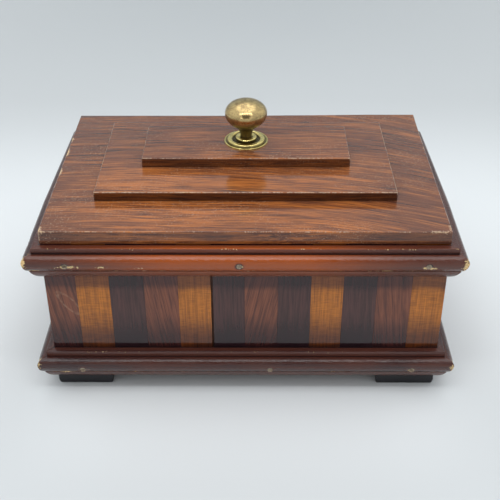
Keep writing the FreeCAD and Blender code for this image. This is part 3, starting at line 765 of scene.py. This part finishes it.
def spot_wear(across, up, spots, seed):
    """Wear of ragged spots, each given as (across, up, half width, half height, amount)."""
    wear = np.zeros(len(across))
    points = np.stack([across, up, np.zeros(len(across))], axis=1)
    ragged = 0.45 * ripple(points, 420, seed) + 0.35 * ripple(points, 1100, seed + 1)
    for middle, level, wide, tall, amount in spots:
        away = np.hypot((across - middle * MM) / (wide * MM), (up - level * MM) / (tall * MM))
        wear = np.maximum(wear, amount * np.clip(1.35 - away + ragged, 0, 1))
    return wear


def narrowing(level, depth):
    """How much of its reach a side moulding keeps at each depth: the rim's narrow to the back."""
    lost = 0.26 if level == "rim" else 0.0
    return 1 - lost * ramp(depth, -20 * MM, 85 * MM)


def front_corner(height):
    """Where the faces of the right and the front strips meet, at a height."""
    return Vector((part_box("right_strips_brown")[1].x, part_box("front_strip_01")[0].y, height))


def pin_heads(level, side, out):
    """Middle and radius of each pin head in one run of moulding."""
    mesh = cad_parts[f"{level}_moulding_pins"].data
    low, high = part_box(f"{level}_moulding_{side}")
    found = []
    for vertex in mesh.vertices:
        inside = all(low[axis] - MM < vertex.co[axis] < high[axis] + MM for axis in range(3))
        if inside and (vertex.co - (low + high) / 2).dot(out) > 0:
            found.append(vertex.co.copy())
    outermost = max(point.dot(out) for point in found)
    groups = []
    for point in found:
        if outermost - point.dot(out) < 0.1 * MM:
            for group in groups:
                if (group[0] - point).length < 5 * MM:
                    group.append(point)
                    break
            else:
                groups.append([point])
    heads = []
    for group in groups:
        lowest = Vector([min(point[axis] for point in group) for axis in range(3)])
        highest = Vector([max(point[axis] for point in group) for axis in range(3)])
        heads.append(((lowest + highest) / 2, (highest.z - lowest.z) / 2))
    return heads


# ---------------------------------------------------------------- operators


class CADDY_OT_stage(bpy.types.Operator):
    """Set up the floor, backdrop, light tent, lamps and camera"""

    bl_idname = "caddy.stage"
    bl_label = "Stage"

    def execute(self, context):
        self.floor(context.scene.caddy_colours.backdrop)
        world = bpy.data.worlds.new("Light tent")
        context.scene.world = world
        world.use_nodes = True
        self.tent(Nodes(world.node_tree))
        self.lamps(context.scene)
        self.camera(context.scene)
        context.scene.view_settings.view_transform = "Standard"
        return {"FINISHED"}

    def floor(self, pale):
        """A sheet of paper whose back edge is folded up into a backdrop."""
        bpy.ops.mesh.primitive_plane_add(size=6, location=(0, 0, 0))
        floor = started("Backdrop")
        edit_edges(floor, lambda ends: all(end.y > 0 for end in ends))
        bpy.ops.mesh.extrude_region_move(TRANSFORM_OT_translate={"value": Vector((0, 0, 3))})
        bevel_sharp(floor, 1.0, 12)
        smooth(floor)
        floor.data.materials.append(self.paper(pale))

    def paper(self, pale):
        """Pale paper with painted light, brighter under and before the caddy and up the backdrop, and
        painted shade far back in the middle.
        """
        finish = Finish("Pale paper")
        place = finish.place()
        x, y, z = finish.parts(place)
        fibres = finish.noise(place, scale=900, detail=2)
        base = finish.blend(finish.span(fibres, 0.3, 0.7, 0.0, 0.02), pale, (0.6, 0.6, 0.6))
        # Painted shade far back in the middle; painted light across the middle band, up the backdrop
        # and in a patch before the caddy.
        painted_shade_far_back = finish.span(y, 0.20, 0.75) * finish.span(abs(x), 0.0, 0.75, 1, 0)
        base = finish.blend(painted_shade_far_back * 0.30, base, (0.30, 0.34, 0.36))
        under = finish.span(y, -0.18, 0.04, 1.0, 1.26) * finish.span(y, 0.13, 0.40, 1.0, 0.76)
        raised = under * finish.span(z, 0.2, 1.2, 1.0, 1.65)
        before = finish.span(y, -0.19, -0.095) * finish.span(abs(x), 0.09, 0.17, 1.0, 0.0)
        painted_light = raised + before * finish.span(y, -0.06, 0.0, 0.26, 0.0)
        base = finish.blend(1.0, base, finish.vector(painted_light, painted_light, painted_light), "MULTIPLY")
        return finish.surface(base, 0.8, finish.bump(fibres, 0.0001, 0.2))

    def tent(self, nodes):
        """A white tent all round, brighter overhead, with a dark opening in its front wall."""
        ways = nodes.node("ShaderNodeTexCoord", "Generated", {})
        roof = nodes.span(nodes.towards(ways, (0.0, 0.17, 0.985)), 0.80, 0.94)
        opening = nodes.span(nodes.towards(ways, (0.0, -0.82, 0.572)), 0.84, 0.90)
        fabric = nodes.blend(roof, (0.95, 0.98, 1.0), (2.30, 2.30, 2.32))
        wall = nodes.blend(opening, fabric, (0.16, 0.145, 0.14))
        rise = {"Value": nodes.part(ways, "Z"), "From Max": 0.35, "To Min": 0.64, "To Max": 0.90}
        strength = nodes.node("ShaderNodeMapRange", "Result", rise)
        background = nodes.tree.nodes["Background"]
        nodes.feed(background.inputs["Color"], wall)
        nodes.feed(background.inputs["Strength"], strength)

    def lamps(self, scene):
        """Four strip lamps in a square, high before the caddy and aimed at its middle."""
        middle = Vector((0.0, -0.50, 0.48))
        aim = Vector((0, 0, 0.08)) - middle
        turn = aim.to_track_quat("-Z", "Y")
        half, strip = 0.30, 0.07
        for name, across, up, wide, tall, power in (
            ("Top lamp", 0, half, 2 * half, strip, 1.05),
            ("Bottom lamp", 0, -half, 2 * half, 0.3 * strip, 0.12),
            ("Left lamp", -half, 0, 0.5 * strip, 2 * half, 0.24),
            ("Right lamp", half, 0, 0.5 * strip, 2 * half, 0.24),
        ):
            data = bpy.data.lights.new(name, "AREA")
            data.shape = "RECTANGLE"
            data.size, data.size_y = wide, tall
            data.energy = power
            lamp = bpy.data.objects.new(name, data)
            scene.collection.objects.link(lamp)
            shift = Matrix.Translation(middle + turn @ Vector((across, up, 0)))
            lamp.matrix_world = shift @ turn.to_matrix().to_4x4()

    def camera(self, scene):
        """The camera stands before the caddy and looks down on it."""
        data = bpy.data.cameras.new("Camera")
        data.lens, data.sensor_width = 65.857, 36
        camera = bpy.data.objects.new("Camera", data)
        scene.collection.objects.link(camera)
        stand = Vector((5.711, -546.96, 410.159)) * MM
        pitch, yaw, roll = 0.577038, -0.005778, -0.002314
        camera.matrix_world = (
            Matrix.Translation(stand)
            @ Matrix.Rotation(-yaw, 4, "Z")
            @ Matrix.Rotation(math.pi / 2 - pitch, 4, "X")
            @ Matrix.Rotation(roll, 4, "Z")
        )
        scene.camera = camera


class CADDY_OT_lid(bpy.types.Operator):
    """Make the lid's three veneered boards, with their worn edges, mortises and nut recess"""

    bl_idname = "caddy.lid"
    bl_label = "Lid boards"

    def execute(self, context):
        for node, name, slant, sweep, seed, shade, rubbing in (
            ("lid_board", "Lid_board", 0.07, 1.40, 1, 0.32, 0.50),
            ("lid_middle_step", "Middle_step", 0.06, 1.15, 2, 0.90, 0.78),
            ("lid_upper_step", "Upper_step", 0.02, 0.45, 3, 0.72, 0.55),
        ):
            low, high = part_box(node)
            piece = self.board(name, low, high, seed, rubbing)
            veneer = lid_veneer(name.replace("_", " "), slant, sweep, seed, high.z, shade)
            finish_piece(piece, veneer, "lid", "lid_wood", node)
        return {"FINISHED"}

    def board(self, name, low, high, seed, rubbing):
        """One board with rounded, rubbed edges; the lowest is also cut, chipped and warped."""
        sizes = bpy.context.scene.caddy_sizes
        lowest = name == "Lid_board"
        piece = fine_block(name, low, high, 1.3 * sizes.pitch)
        bevel_sharp(piece, sizes.board_round, 3)
        if lowest:
            self.undercut(piece, low, high)
        points = points_of(piece)
        slow = ripple(points, 60, seed)
        quick = ripple(points, 260, seed + 4)
        near = np.clip(1.45 * edge_wear(points, low, high, 1.1 * sizes.board_round), 0, 1)
        top = points[:, 2] > low.z + 0.6 * (high.z - low.z)
        back = 0.2 * (points[:, 1] > high.y - 2 * MM)
        wear = near * (rubbing + back + 0.35 * slow + 0.40 * quick) * np.where(top, 1.0, 0.35)
        if lowest:
            wear = np.maximum(wear, self.chips(points, low, high))
            self.warp(points, high.y, seed)
        wear *= ramp(points[:, 2], low.z + 0.8 * MM, low.z + 2.3 * MM)
        inward = unit((np.array((low + high) / 2) - points) * np.array((1, 1, 0.3)))
        broad = edge_wear(points, low, high, 4 * sizes.board_round)
        points += inward * (broad * wear * sizes.chip_depth)[:, None]
        move_points(piece, points)
        write_value(piece, "wear", wear)
        smooth(piece)
        return piece

    def warp(self, points, back, seed):
        """Lift the board's back right corner a little and make its back edge wavy."""
        lift = ramp(points[:, 0], -30 * MM, 90 * MM) ** 1.5
        lift *= ramp(points[:, 1], 45 * MM, 83 * MM) ** 2
        points[:, 2] += lift * 0.9 * MM
        hollow = (1 + ripple(points, (38, 38, 0), seed + 9)) / 2
        points[:, 1] -= ramp(points[:, 1], back - 2 * MM, back) * 0.4 * MM * hollow

    def undercut(self, piece, low, high):
        """Cut the hinge mortises and the nut's recess into the underside."""
        tools = []
        for side in ("left", "right"):
            leaf_low, leaf_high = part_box(f"{side}_hinge_lid_leaf")
            slack = Vector((0.1, 0.1, 0)) * MM
            floor = Vector((leaf_low.x, leaf_low.y, low.z - MM)) - slack
            roof = Vector((leaf_high.x, high.y + MM, leaf_high.z)) + slack
            tools.append(router(floor, roof))
        washer_low, washer_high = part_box("knob_washer")
        middle = (washer_low + washer_high) / 2
        depth = 2 * (washer_high.z - low.z)
        middle.z = low.z
        tools.append(drill(middle, Vector((0, 0, 1)), washer_high.x + 1.0 * MM, depth))
        carve(piece, tools)

    def chips(self, points, low, high):
        """Wear of the chipped places along the board's edges."""
        near = edge_wear(points, low, high, 2.2 * MM)
        spots = (
            (-124.5, 24.0, 3, 7, 1.6),
            (-124.5, -5.0, 3, 6, 1.4),
            (-124.5, 44.0, 2, 4, 1.2),
            (-124.0, -79.0, 4, 4, 1.3),
            (123.0, -77.0, 5, 5, 0.9),
            (116.0, -80.5, 8, 2, 0.8),
            (124.5, 30.0, 2, 6, 0.7),
            (60.0, 84.5, 20, 2, 0.6),
        )
        return near * spot_wear(points[:, 0], points[:, 1], spots, 21)


class CADDY_OT_mouldings(bpy.types.Operator):
    """Run the rim and base mouldings around three sides, mitred at the front corners"""

    bl_idname = "caddy.mouldings"
    bl_label = "Mouldings"

    spots = {
        "rim_moulding_front": (
            (-108, 100.4, 8.0, 1.3, 0.9), (-87, 100.2, 4.0, 0.9, 0.75), (-64, 99.8, 4.5, 0.7, 0.7),
            (111, 99.8, 5.0, 1.2, 0.85), (-135, 103, 2.6, 5, 1.0), (134.5, 101.5, 3.2, 5.5, 1.0),
            (-3.5, 101, 2.4, 1.6, 0.7), (-128, 96.5, 3, 1, 0.8), (86, 96.6, 3, 0.8, 0.7),
        ),
        "rim_moulding_left": ((-90, 103, 4, 5, 1.0), (-70, 104, 6, 1.2, 0.8), (10, 103, 9, 1, 0.7)),
        "rim_moulding_right": ((-89.5, 102, 3, 4.5, 1.0), (-40, 103, 8, 1, 0.7), (50, 103, 9, 1, 0.7)),
        "base_moulding_front": (
            (-134.5, 24, 2, 3, 0.6), (134.5, 22, 2.4, 3, 0.75), (-106, 19.6, 3, 1.4, 0.7),
            (108, 19.6, 2.4, 1.4, 0.8), (-70, 16.5, 8, 0.7, 0.6), (60, 16.5, 10, 0.7, 0.6),
            (-118, 15.6, 5, 0.8, 0.8),
        ),
        "base_moulding_left": ((-89, 24, 3, 4, 0.9), (-20, 18, 9, 1, 0.7)),
        "base_moulding_right": ((-89, 22, 3, 4, 0.9), (30, 18, 9, 1, 0.7)),
    }

    def execute(self, context):
        for level, seed in (("rim", 3), ("base", 8)):
            for side, out in SIDES:
                self.run(level, side, Vector(out), seed)
                seed += 1
        return {"FINISHED"}

    def run(self, level, side, out, seed):
        """Make one run, wear it and stain it."""
        piece = self.cut_run(level, side, out)
        self.age(piece, level, side, out, seed)
        smooth(piece, math.radians(35))
        material = moulding_stain(f"{level.title()} moulding {side}", level, side, seed)
        finish_piece(piece, material, "case", "moulding_wood", f"{level}_moulding_{side}")

    def cut_run(self, level, side, out):
        """One run of moulding, with its ends cut and holes for its pins."""
        node = f"{level}_moulding_{side}"
        low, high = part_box(node)
        corner = front_corner(low.z)
        gap = (0.45 if node == "base_moulding_left" else 0.06) * MM
        spare = 4 * MM
        if side == "front":
            start = Vector((low.x - spare, corner.y, low.z))
            end = Vector((high.x + spare, corner.y, low.z))
            cuts = (
                (corner - Vector((gap, 0, 0)), Vector((1, 1, 0))),
                (Vector((gap - corner.x, corner.y, low.z)), Vector((-1, 1, 0))),
            )
        else:
            wall = math.copysign(corner.x, out.x)
            start = Vector((wall, low.y - spare, low.z))
            end = Vector((wall, high.y + spare, low.z))
            cuts = (
                (Vector((wall, corner.y + gap, low.z)), Vector((-out.x, -1, 0))),
                (Vector((wall, high.y, low.z)), Vector((0, 1, 0))),
            )
        piece = run_of_moulding(f"{level.title()}_moulding_{side}", start, end, out, high.z - low.z)
        for place, away in cuts:
            cut_off(piece, place, away)
        slack, depth = 0.12 * MM, 2.6 * MM
        heads = pin_heads(level, side, out)
        carve(piece, [drill(head, out, radius + slack, depth) for head, radius in heads])
        outward(piece)
        return piece

    def age(self, piece, level, side, out, seed):
        """Rub the arrises of one run, chip it, dent it and store its painted shade and dark joints."""
        sizes = bpy.context.scene.caddy_sizes
        node = f"{level}_moulding_{side}"
        points = points_of(piece)
        reach = points @ np.array(out)
        reach -= reach.min()
        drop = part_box(node)[1].z - points[:, 2]
        along = points[:, 0] if side == "front" else points[:, 1]
        slow, quick = ripple(points, 45, seed), ripple(points, 330, seed + 20)
        arris = peak(drop, sizes.arris / 2, 2 * sizes.arris)
        arris *= peak(reach, sizes.ledge_width, 2 * sizes.arris)
        nose_end = peak(drop, sizes.nose_drop - 0.3 * MM, 0.7 * MM) * ramp(reach, 6 * MM, 7 * MM)
        rubbing = 0.16 if level == "rim" else 0.08
        wear = arris * (rubbing + 0.45 * slow + 0.50 * quick)
        wear = np.maximum(wear, nose_end * (0.45 + 0.35 * slow + 0.45 * quick))
        chips = spot_wear(along, points[:, 2], self.spots[node], seed)
        chips *= ramp(reach, 4 * MM, 5 * MM)
        wear = np.maximum(wear, chips)
        dent = np.clip(chips, 0, 1) * 1.6 * sizes.chip_depth
        dent += np.clip(arris * wear, 0, 1) * 0.3 * MM
        dent += np.clip(ripple(points, 14, seed + 2), 0, 1) * 0.15 * MM
        dent *= ramp(reach, 0, 4 * MM)
        if side != "front":
            dent += reach * (1 - narrowing(level, points[:, 1]))
        points -= np.array(out) * dent[:, None]
        move_points(piece, points)
        write_value(piece, "wear", wear)
        write_value(piece, "dirt_and_shade", self.hollows(points, reach, drop, level, side, out))

    def hollows(self, points, reach, drop, level, side, out):
        """Painted shade in the creases under the ledge and the nose, in rings round the pins, below the
        nose's end and in the gaps along the wall; a darker fillet; dark mitre joints.
        """
        sizes = bpy.context.scene.caddy_sizes
        # Painted shade at the creases, the pin rings, under the nose's end and along the wall; the
        # fillet darkened; the mitres darker.
        ledge = ramp(np.hypot(drop - sizes.ledge_drop, reach - sizes.ledge_width), 1.6 * MM, 0)
        crease_and_pin_shade = ramp(np.hypot(drop - sizes.nose_drop, reach - sizes.nose_foot), 1.4 * MM, 0)
        for head, radius in pin_heads(level, side, out):
            away = np.linalg.norm(points - np.array(head), axis=1) / radius
            crease_and_pin_shade = np.maximum(crease_and_pin_shade, np.clip(3.2 - 1.7 * away, 0, 1))
        under_nose_shade = 0.75 * ramp(drop, sizes.nose_drop, sizes.nose_drop + 2 * MM)
        wall = ramp(reach, 1.92 * MM, 0.72 * MM)
        fillet = peak(reach, sizes.ledge_width, 0.6 * MM) * ramp(drop, 0.2 * MM, 0.35 * MM)
        fillet *= 0.85 if level == "rim" else 0.60
        corner = front_corner(0)
        if side == "front":
            from_joint = corner.x + reach - np.abs(points[:, 0])
        else:
            from_joint = points[:, 1] - corner.y + reach
        open_joint = (level == "base") & (points[:, 0] < 0)
        mitre = ramp(from_joint, 0.9 * MM, 0.3 * MM) * np.where(open_joint, 1.0, 0.6)
        return np.maximum.reduce([ledge * 1.2, crease_and_pin_shade * 1.2, under_nose_shade, wall, fillet, mitre])


class CADDY_OT_pins(bpy.types.Operator):
    """Drive the slotted brass pins into the mouldings"""

    bl_idname = "caddy.pins"
    bl_label = "Pins"

    def execute(self, context):
        colours = context.scene.caddy_colours
        metal = old_brass("Pin metal", colours.pin_metal, colours.brass_tarnish, 0.4, 0.8, 5)
        for level in ("rim", "base"):
            heads = []
            for side, out in SIDES:
                for head, radius in pin_heads(level, side, Vector(out)):
                    heads.append(self.head(head, radius, Vector(out), level, len(heads)))
            piece = joined(heads, f"{level.title()}_pins")
            finish_piece(piece, metal, "case", "pin_brass", f"{level}_moulding_pins")
        return {"FINISHED"}

    def head(self, place, radius, out, level, number):
        """One low domed head with a rim and a slot, pointing out of its moulding."""
        rings = [(radius, -1.2 * MM), (radius, -0.15 * MM), (0.93 * radius, 0.02 * MM)]
        rings += [(0.80 * radius, 0.03 * MM), (0.74 * radius, -0.10 * MM), (0.40 * radius, -0.06 * MM)]
        piece = turned("Head", Vector((0, 0, 0)), rings, 24)
        slot_width, slot_depth = 0.42 * MM, 0.45 * MM
        slot_low = Vector((-radius, -slot_width / 2, -slot_depth))
        carve(piece, [router(slot_low, Vector((radius, slot_width / 2, MM)))])
        points = points_of(piece)
        dish = 0.25 * (np.hypot(points[:, 0], points[:, 1]) < 0.78 * radius)
        slot = 0.6 * (points[:, 2] < -0.2 * MM)
        write_value(piece, "dirt_and_shade", dish + slot)
        if out.x:
            nose_reach = 10.2 * MM
            place = place - out * (1 - narrowing(level, place.y)) * nose_reach
        spin = Matrix.Rotation(0.9 * number + 0.4, 4, "Z")
        turn = Vector((0, 0, 1)).rotation_difference(out).to_matrix().to_4x4()
        piece.data.transform(Matrix.Translation(place) @ turn @ spin)
        return piece


class CADDY_OT_facings(bpy.types.Operator):
    """Face the front and the sides with upright strips of three woods"""

    bl_idname = "caddy.facings"
    bl_label = "Facing strips"

    def execute(self, context):
        for number, kind in enumerate(FRONT_WOODS, start=1):
            node = f"front_strip_{number:02d}"
            low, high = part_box(node)
            piece = self.strip(node.capitalize(), low, high, "Y", number)
            material = strip_wood(f"Front strip {number}", kind, SLANTS[number - 1], number, "X")
            finish_piece(piece, material, "case", f"{kind}_wood", node)
        for side in ("left", "right"):
            for kind in ("brown", "light", "dark"):
                self.side(side, kind)
        return {"FINISHED"}

    def strip(self, name, low, high, out, seed):
        """One strip with softened edges; those of the front are also bent a little."""
        sizes = bpy.context.scene.caddy_sizes
        piece = fine_block(name, low, high, 2.4 * sizes.pitch)
        bevel_sharp(piece, sizes.strip_round, 2)
        if out == "Y":
            points = points_of(piece)
            self.bend(points, low.y, seed)
            move_points(piece, points)
        smooth(piece)
        return piece

    def bend(self, points, face, seed):
        """Make the face uneven, shift the joints sideways and open a crack at one of them."""
        outside = ramp(points[:, 1], face + MM, face)
        points[:, 1] += outside * 0.10 * MM * (1 + ripple(points, (60, 60, 25), seed))
        places = (-125, -104, -83, -62, -42, 40, 62, 83, 104, 125)
        shifts = (0, -1.7, -1.7, -0.9, -0.4, -0.4, -1.1, -1.0, 0, 0)
        points[:, 0] += np.interp(points[:, 0] / MM, places, shifts) * MM
        crack, width = -21.0 * MM, 0.50 * MM
        away = np.sign(points[:, 0] - crack) * peak(points[:, 0], crack, 1.6 * MM) * width
        points[:, 0] += away * (0.6 + ripple(points, (0, 0, 160), 5))

    def side(self, side, kind):
        """All the strips of one wood on one side, as one piece."""
        low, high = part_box(f"{side}_strips_{kind}")
        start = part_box("front_strip_01")[1].y
        step = (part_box("back_board")[1].y - start) / len(SIDE_WOODS)
        pieces = []
        for number, wood in enumerate(SIDE_WOODS):
            if wood == kind:
                near = Vector((low.x, start + number * step, low.z))
                far = Vector((high.x, start + (number + 1) * step, high.z))
                pieces.append(self.strip(f"Part_{number}", near, far, "X", number))
        piece = joined(pieces, f"{side.title()}_strips_{kind}")
        seed = {"brown": 31, "light": 32, "dark": 33}[kind] + (5 if side == "left" else 0)
        material = strip_wood(f"{side.title()} strips {kind}", kind, 0.06, seed, "Y")
        finish_piece(piece, material, "case", f"{kind}_wood", f"{side}_strips_{kind}")


class CADDY_OT_feet(bpy.types.Operator):
    """Make the four black block feet"""

    bl_idname = "caddy.feet"
    bl_label = "Feet"

    def execute(self, context):
        sizes = context.scene.caddy_sizes
        black = painted_black("Black paint")
        for seed, node in enumerate(
            ("front_left_foot", "front_right_foot", "back_left_foot", "back_right_foot")
        ):
            low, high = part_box(node)
            middle = Vector(((low.x + high.x) / 2, (low.y + high.y) / 2, low.z))
            if node == "front_left_foot":
                high = high - Vector((2.0 * MM, 0, 0))
            piece = fine_block(node.capitalize(), low, high, 2.0 * sizes.pitch)
            edit_edges(piece, lambda ends: self.lower_rim(ends, low, high))
            bpy.ops.mesh.bevel(offset=sizes.foot_round, segments=4, affect="EDGES")
            deselect()
            carve(piece, [drill(middle, Vector((0, 0, 1)), 2.72 * MM, 1.3 * MM)])
            points = points_of(piece)
            sink = np.clip(ripple(points, 90, seed + 1), 0, 1) * 0.25 * MM
            inward = unit((np.array(middle) - points) * np.array((1, 1, 0)))
            points += inward * sink[:, None]
            move_points(piece, points)
            smooth(piece)
            finish_piece(piece, black, "case", "black_wood", node)
        return {"FINISHED"}

    def lower_rim(self, ends, low, high):
        """Whether an edge lies on the block's arrises and reaches down to its underside."""
        near = 0.01 * MM
        on_arris = [
            sum(min(end[axis] - low[axis], high[axis] - end[axis]) < near for axis in range(3)) > 1
            for end in ends
        ]
        return all(on_arris) and min(end.z for end in ends) < low.z + near


class CADDY_OT_knob(bpy.types.Operator):
    """Turn the brass knob and its back plate"""

    bl_idname = "caddy.knob"
    bl_label = "Knob"

    def execute(self, context):
        low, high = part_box("knob")
        axis = (low + high) / 2
        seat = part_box("knob_rose")[0].z
        steps = context.scene.caddy_sizes.turning_steps
        self.knob(axis, low.z, (high.x - low.x) / 2, seat, steps)
        self.rose(axis, seat, steps)
        return {"FINISHED"}

    def knob(self, axis, foot, radius, seat, steps):
        """A ball, flatter on top than below, on a neck that flares out to meet it."""
        centre, above, below = seat + 20.6 * MM, 9.25 * MM, 10.6 * MM
        neck, flare, straight = 3.9 * MM, 8.0 * MM, seat + 4.2 * MM
        meet = centre - below * math.sqrt(1 - (flare / radius) ** 2)
        sweep = ((meet - straight) ** 2 + (flare - neck) ** 2) / (2 * (flare - neck))
        rings = [(neck, foot), (neck, straight)]
        for step in range(1, 9):
            height = straight + (meet - straight) * step / 8
            wide = neck + sweep - math.sqrt(sweep ** 2 - (height - straight) ** 2)
            rings.append((wide, height))
        first, last = math.pi - math.asin(flare / radius), 0.02
        for step in range(1, 41):
            angle = first - (first - last) * step / 40
            tall = above if angle < math.pi / 2 else below
            rings.append((radius * math.sin(angle), centre + tall * math.cos(angle)))
        piece = turned("Knob", axis, rings, steps)
        points = points_of(piece)
        dent = np.clip(0.5 + ripple(points, 150, 4), 0, 1) * 0.07 * MM
        dent *= ramp(points[:, 2], meet, meet + MM)
        points -= unit(points - np.array((axis.x, axis.y, centre))) * dent[:, None]
        move_points(piece, points)
        # Painted shade: the neck, where it would reflect the dark hollow under the ball, and the lower
        # half of the ball.
        painted_neck_shade = 0.8 * ramp(points[:, 2], meet + 0.6 * MM, meet - 1.4 * MM)
        painted_belly_shade = 0.62 * ramp(points[:, 2], centre + 3 * MM, centre - 8 * MM)
        write_value(piece, "dirt_and_shade", np.maximum(painted_neck_shade, painted_belly_shade))
        smooth(piece, math.radians(50))
        colours = bpy.context.scene.caddy_colours
        brass = old_brass("Knob brass", colours.brass, colours.brass_tarnish, 1.0, 0.65, 3)
        finish_piece(piece, brass, "lid", "knob_brass", "knob")

    def rose(self, axis, seat, steps):
        """The back plate: a bead at its brim, a round fold, a hollow and a collar."""
        outline = [(14.85, 0), (14.85, 0.7), (14.6, 1.0), (14.2, 1.0)]
        outline += [(13.9, 0.85), (13.0, 0.85), (12.8, 1.5)]
        fold_in, fold_out = 9.4, 12.8
        fold = arc((fold_in, 1.7), (fold_out, 1.7), 2.1, 9)
        outline += [(fold_out + fold_in - point.x, point.y) for point in fold]
        outline += [(9.2, 1.25), (9.0, 1.2), (7.4, 1.2)]
        collar_in, collar_out = 4.2, 7.1
        outline += [(collar_out, 1.35), (collar_out, 3.05)]
        collar = arc((collar_in, 3.05), (collar_out, 3.05), 1.75, 8)
        outline += [(collar_out + collar_in - point.x, point.y) for point in collar]
        outline.append((3.6, 2.9))
        rings = [(out * MM, seat + up * MM) for out, up in outline]
        piece = turned("Knob_rose", axis, rings, steps)
        points = points_of(piece)
        out = np.hypot(points[:, 0] - axis.x, points[:, 1] - axis.y) / MM
        up = (points[:, 2] - seat) / MM
        hollow = ramp(out, 9.8, 9.4) * ramp(up, 1.9, 1.6)
        brim = np.where((out > 12.7) & (out < 14.0), 0.75, 0.0)
        write_value(piece, "dirt_and_shade", np.maximum(hollow, brim))
        smooth(piece, math.radians(35))
        colours = bpy.context.scene.caddy_colours
        brass = old_brass("Rose brass", colours.rose_brass, colours.brass_tarnish, 1.2, 0.35, 9)
        finish_piece(piece, brass, "lid", "knob_brass", "knob_rose")


class CADDY_OT_fittings(bpy.types.Operator):
    """Finish the hinges, screws, boards and linings that the frame already holds"""

    bl_idname = "caddy.fittings"
    bl_label = "Fittings and inside"

    def execute(self, context):
        colours = context.scene.caddy_colours
        brass = old_brass("Hinge brass", colours.brass, colours.brass_tarnish, 0.5, 0.55, 7)
        steel = dull_metal("Steel", colours.steel, 0.28, 2)
        foil = dull_metal("Metal foil", colours.lining, 0.34, 6)
        boards = plain_wood("Case boards", colours.back_wood, (10, 300, 300), 0.1, 3)
        sides = plain_wood("Side boards", colours.back_wood, (300, 10, 300), 0.1, 4)
        back = plain_wood("Back board", colours.back_wood, (10, 300, 300), 0.8, 8)
        finishes = {
            steel: ("foot_screws", "knob_stud", "knob_washer", "knob_nut"),
            foil: ("left_lining", "right_lining"),
            boards: ("front_board", "bottom_board"),
            sides: ("left_board", "right_board", "divider"),
            back: ("back_board",),
            brass: tuple(
                f"{side}_hinge_{part}"
                for side in ("left", "right")
                for part in ("case_leaf", "lid_leaf", "pin")
            )
            + ("case_hinge_screws", "lid_hinge_screws"),
        }
        for material, nodes in finishes.items():
            for node in nodes:
                coat_node(node, material)
        return {"FINISHED"}


class CADDY_PT_panel(bpy.types.Panel):
    """Sizes, colours and steps of the tea caddy"""

    bl_idname = "CADDY_PT_panel"
    bl_label = "Tea caddy"
    bl_space_type = "VIEW_3D"
    bl_region_type = "UI"
    bl_category = "Caddy"

    def draw(self, context):
        layout = self.layout
        for operator in OPERATORS:
            layout.operator(operator.bl_idname)
        for group in (context.scene.caddy_sizes, context.scene.caddy_colours):
            box = layout.box()
            for name in group.__annotations__:
                box.prop(group, name)


OPERATORS = (
    CADDY_OT_stage,
    CADDY_OT_lid,
    CADDY_OT_mouldings,
    CADDY_OT_pins,
    CADDY_OT_facings,
    CADDY_OT_feet,
    CADDY_OT_knob,
    CADDY_OT_fittings,
)


def register():
    """Register the properties, operators and panel."""
    for kind in (CaddyColours, CaddySizes, *OPERATORS, CADDY_PT_panel):
        bpy.utils.register_class(kind)
    bpy.types.Scene.caddy_colours = PointerProperty(type=CaddyColours)
    bpy.types.Scene.caddy_sizes = PointerProperty(type=CaddySizes)


def unregister():
    """Undo register."""
    del bpy.types.Scene.caddy_sizes
    del bpy.types.Scene.caddy_colours
    for kind in (CADDY_PT_panel, *reversed(OPERATORS), CaddySizes, CaddyColours):
        bpy.utils.unregister_class(kind)


def main():
    """Run every step in order."""
    register()
    deselect()
    bpy.ops.caddy.stage()
    bpy.ops.caddy.lid()
    bpy.ops.caddy.mouldings()
    bpy.ops.caddy.pins()
    bpy.ops.caddy.facings()
    bpy.ops.caddy.feet()
    bpy.ops.caddy.knob()
    bpy.ops.caddy.fittings()


if __name__ == "__main__":
    main()
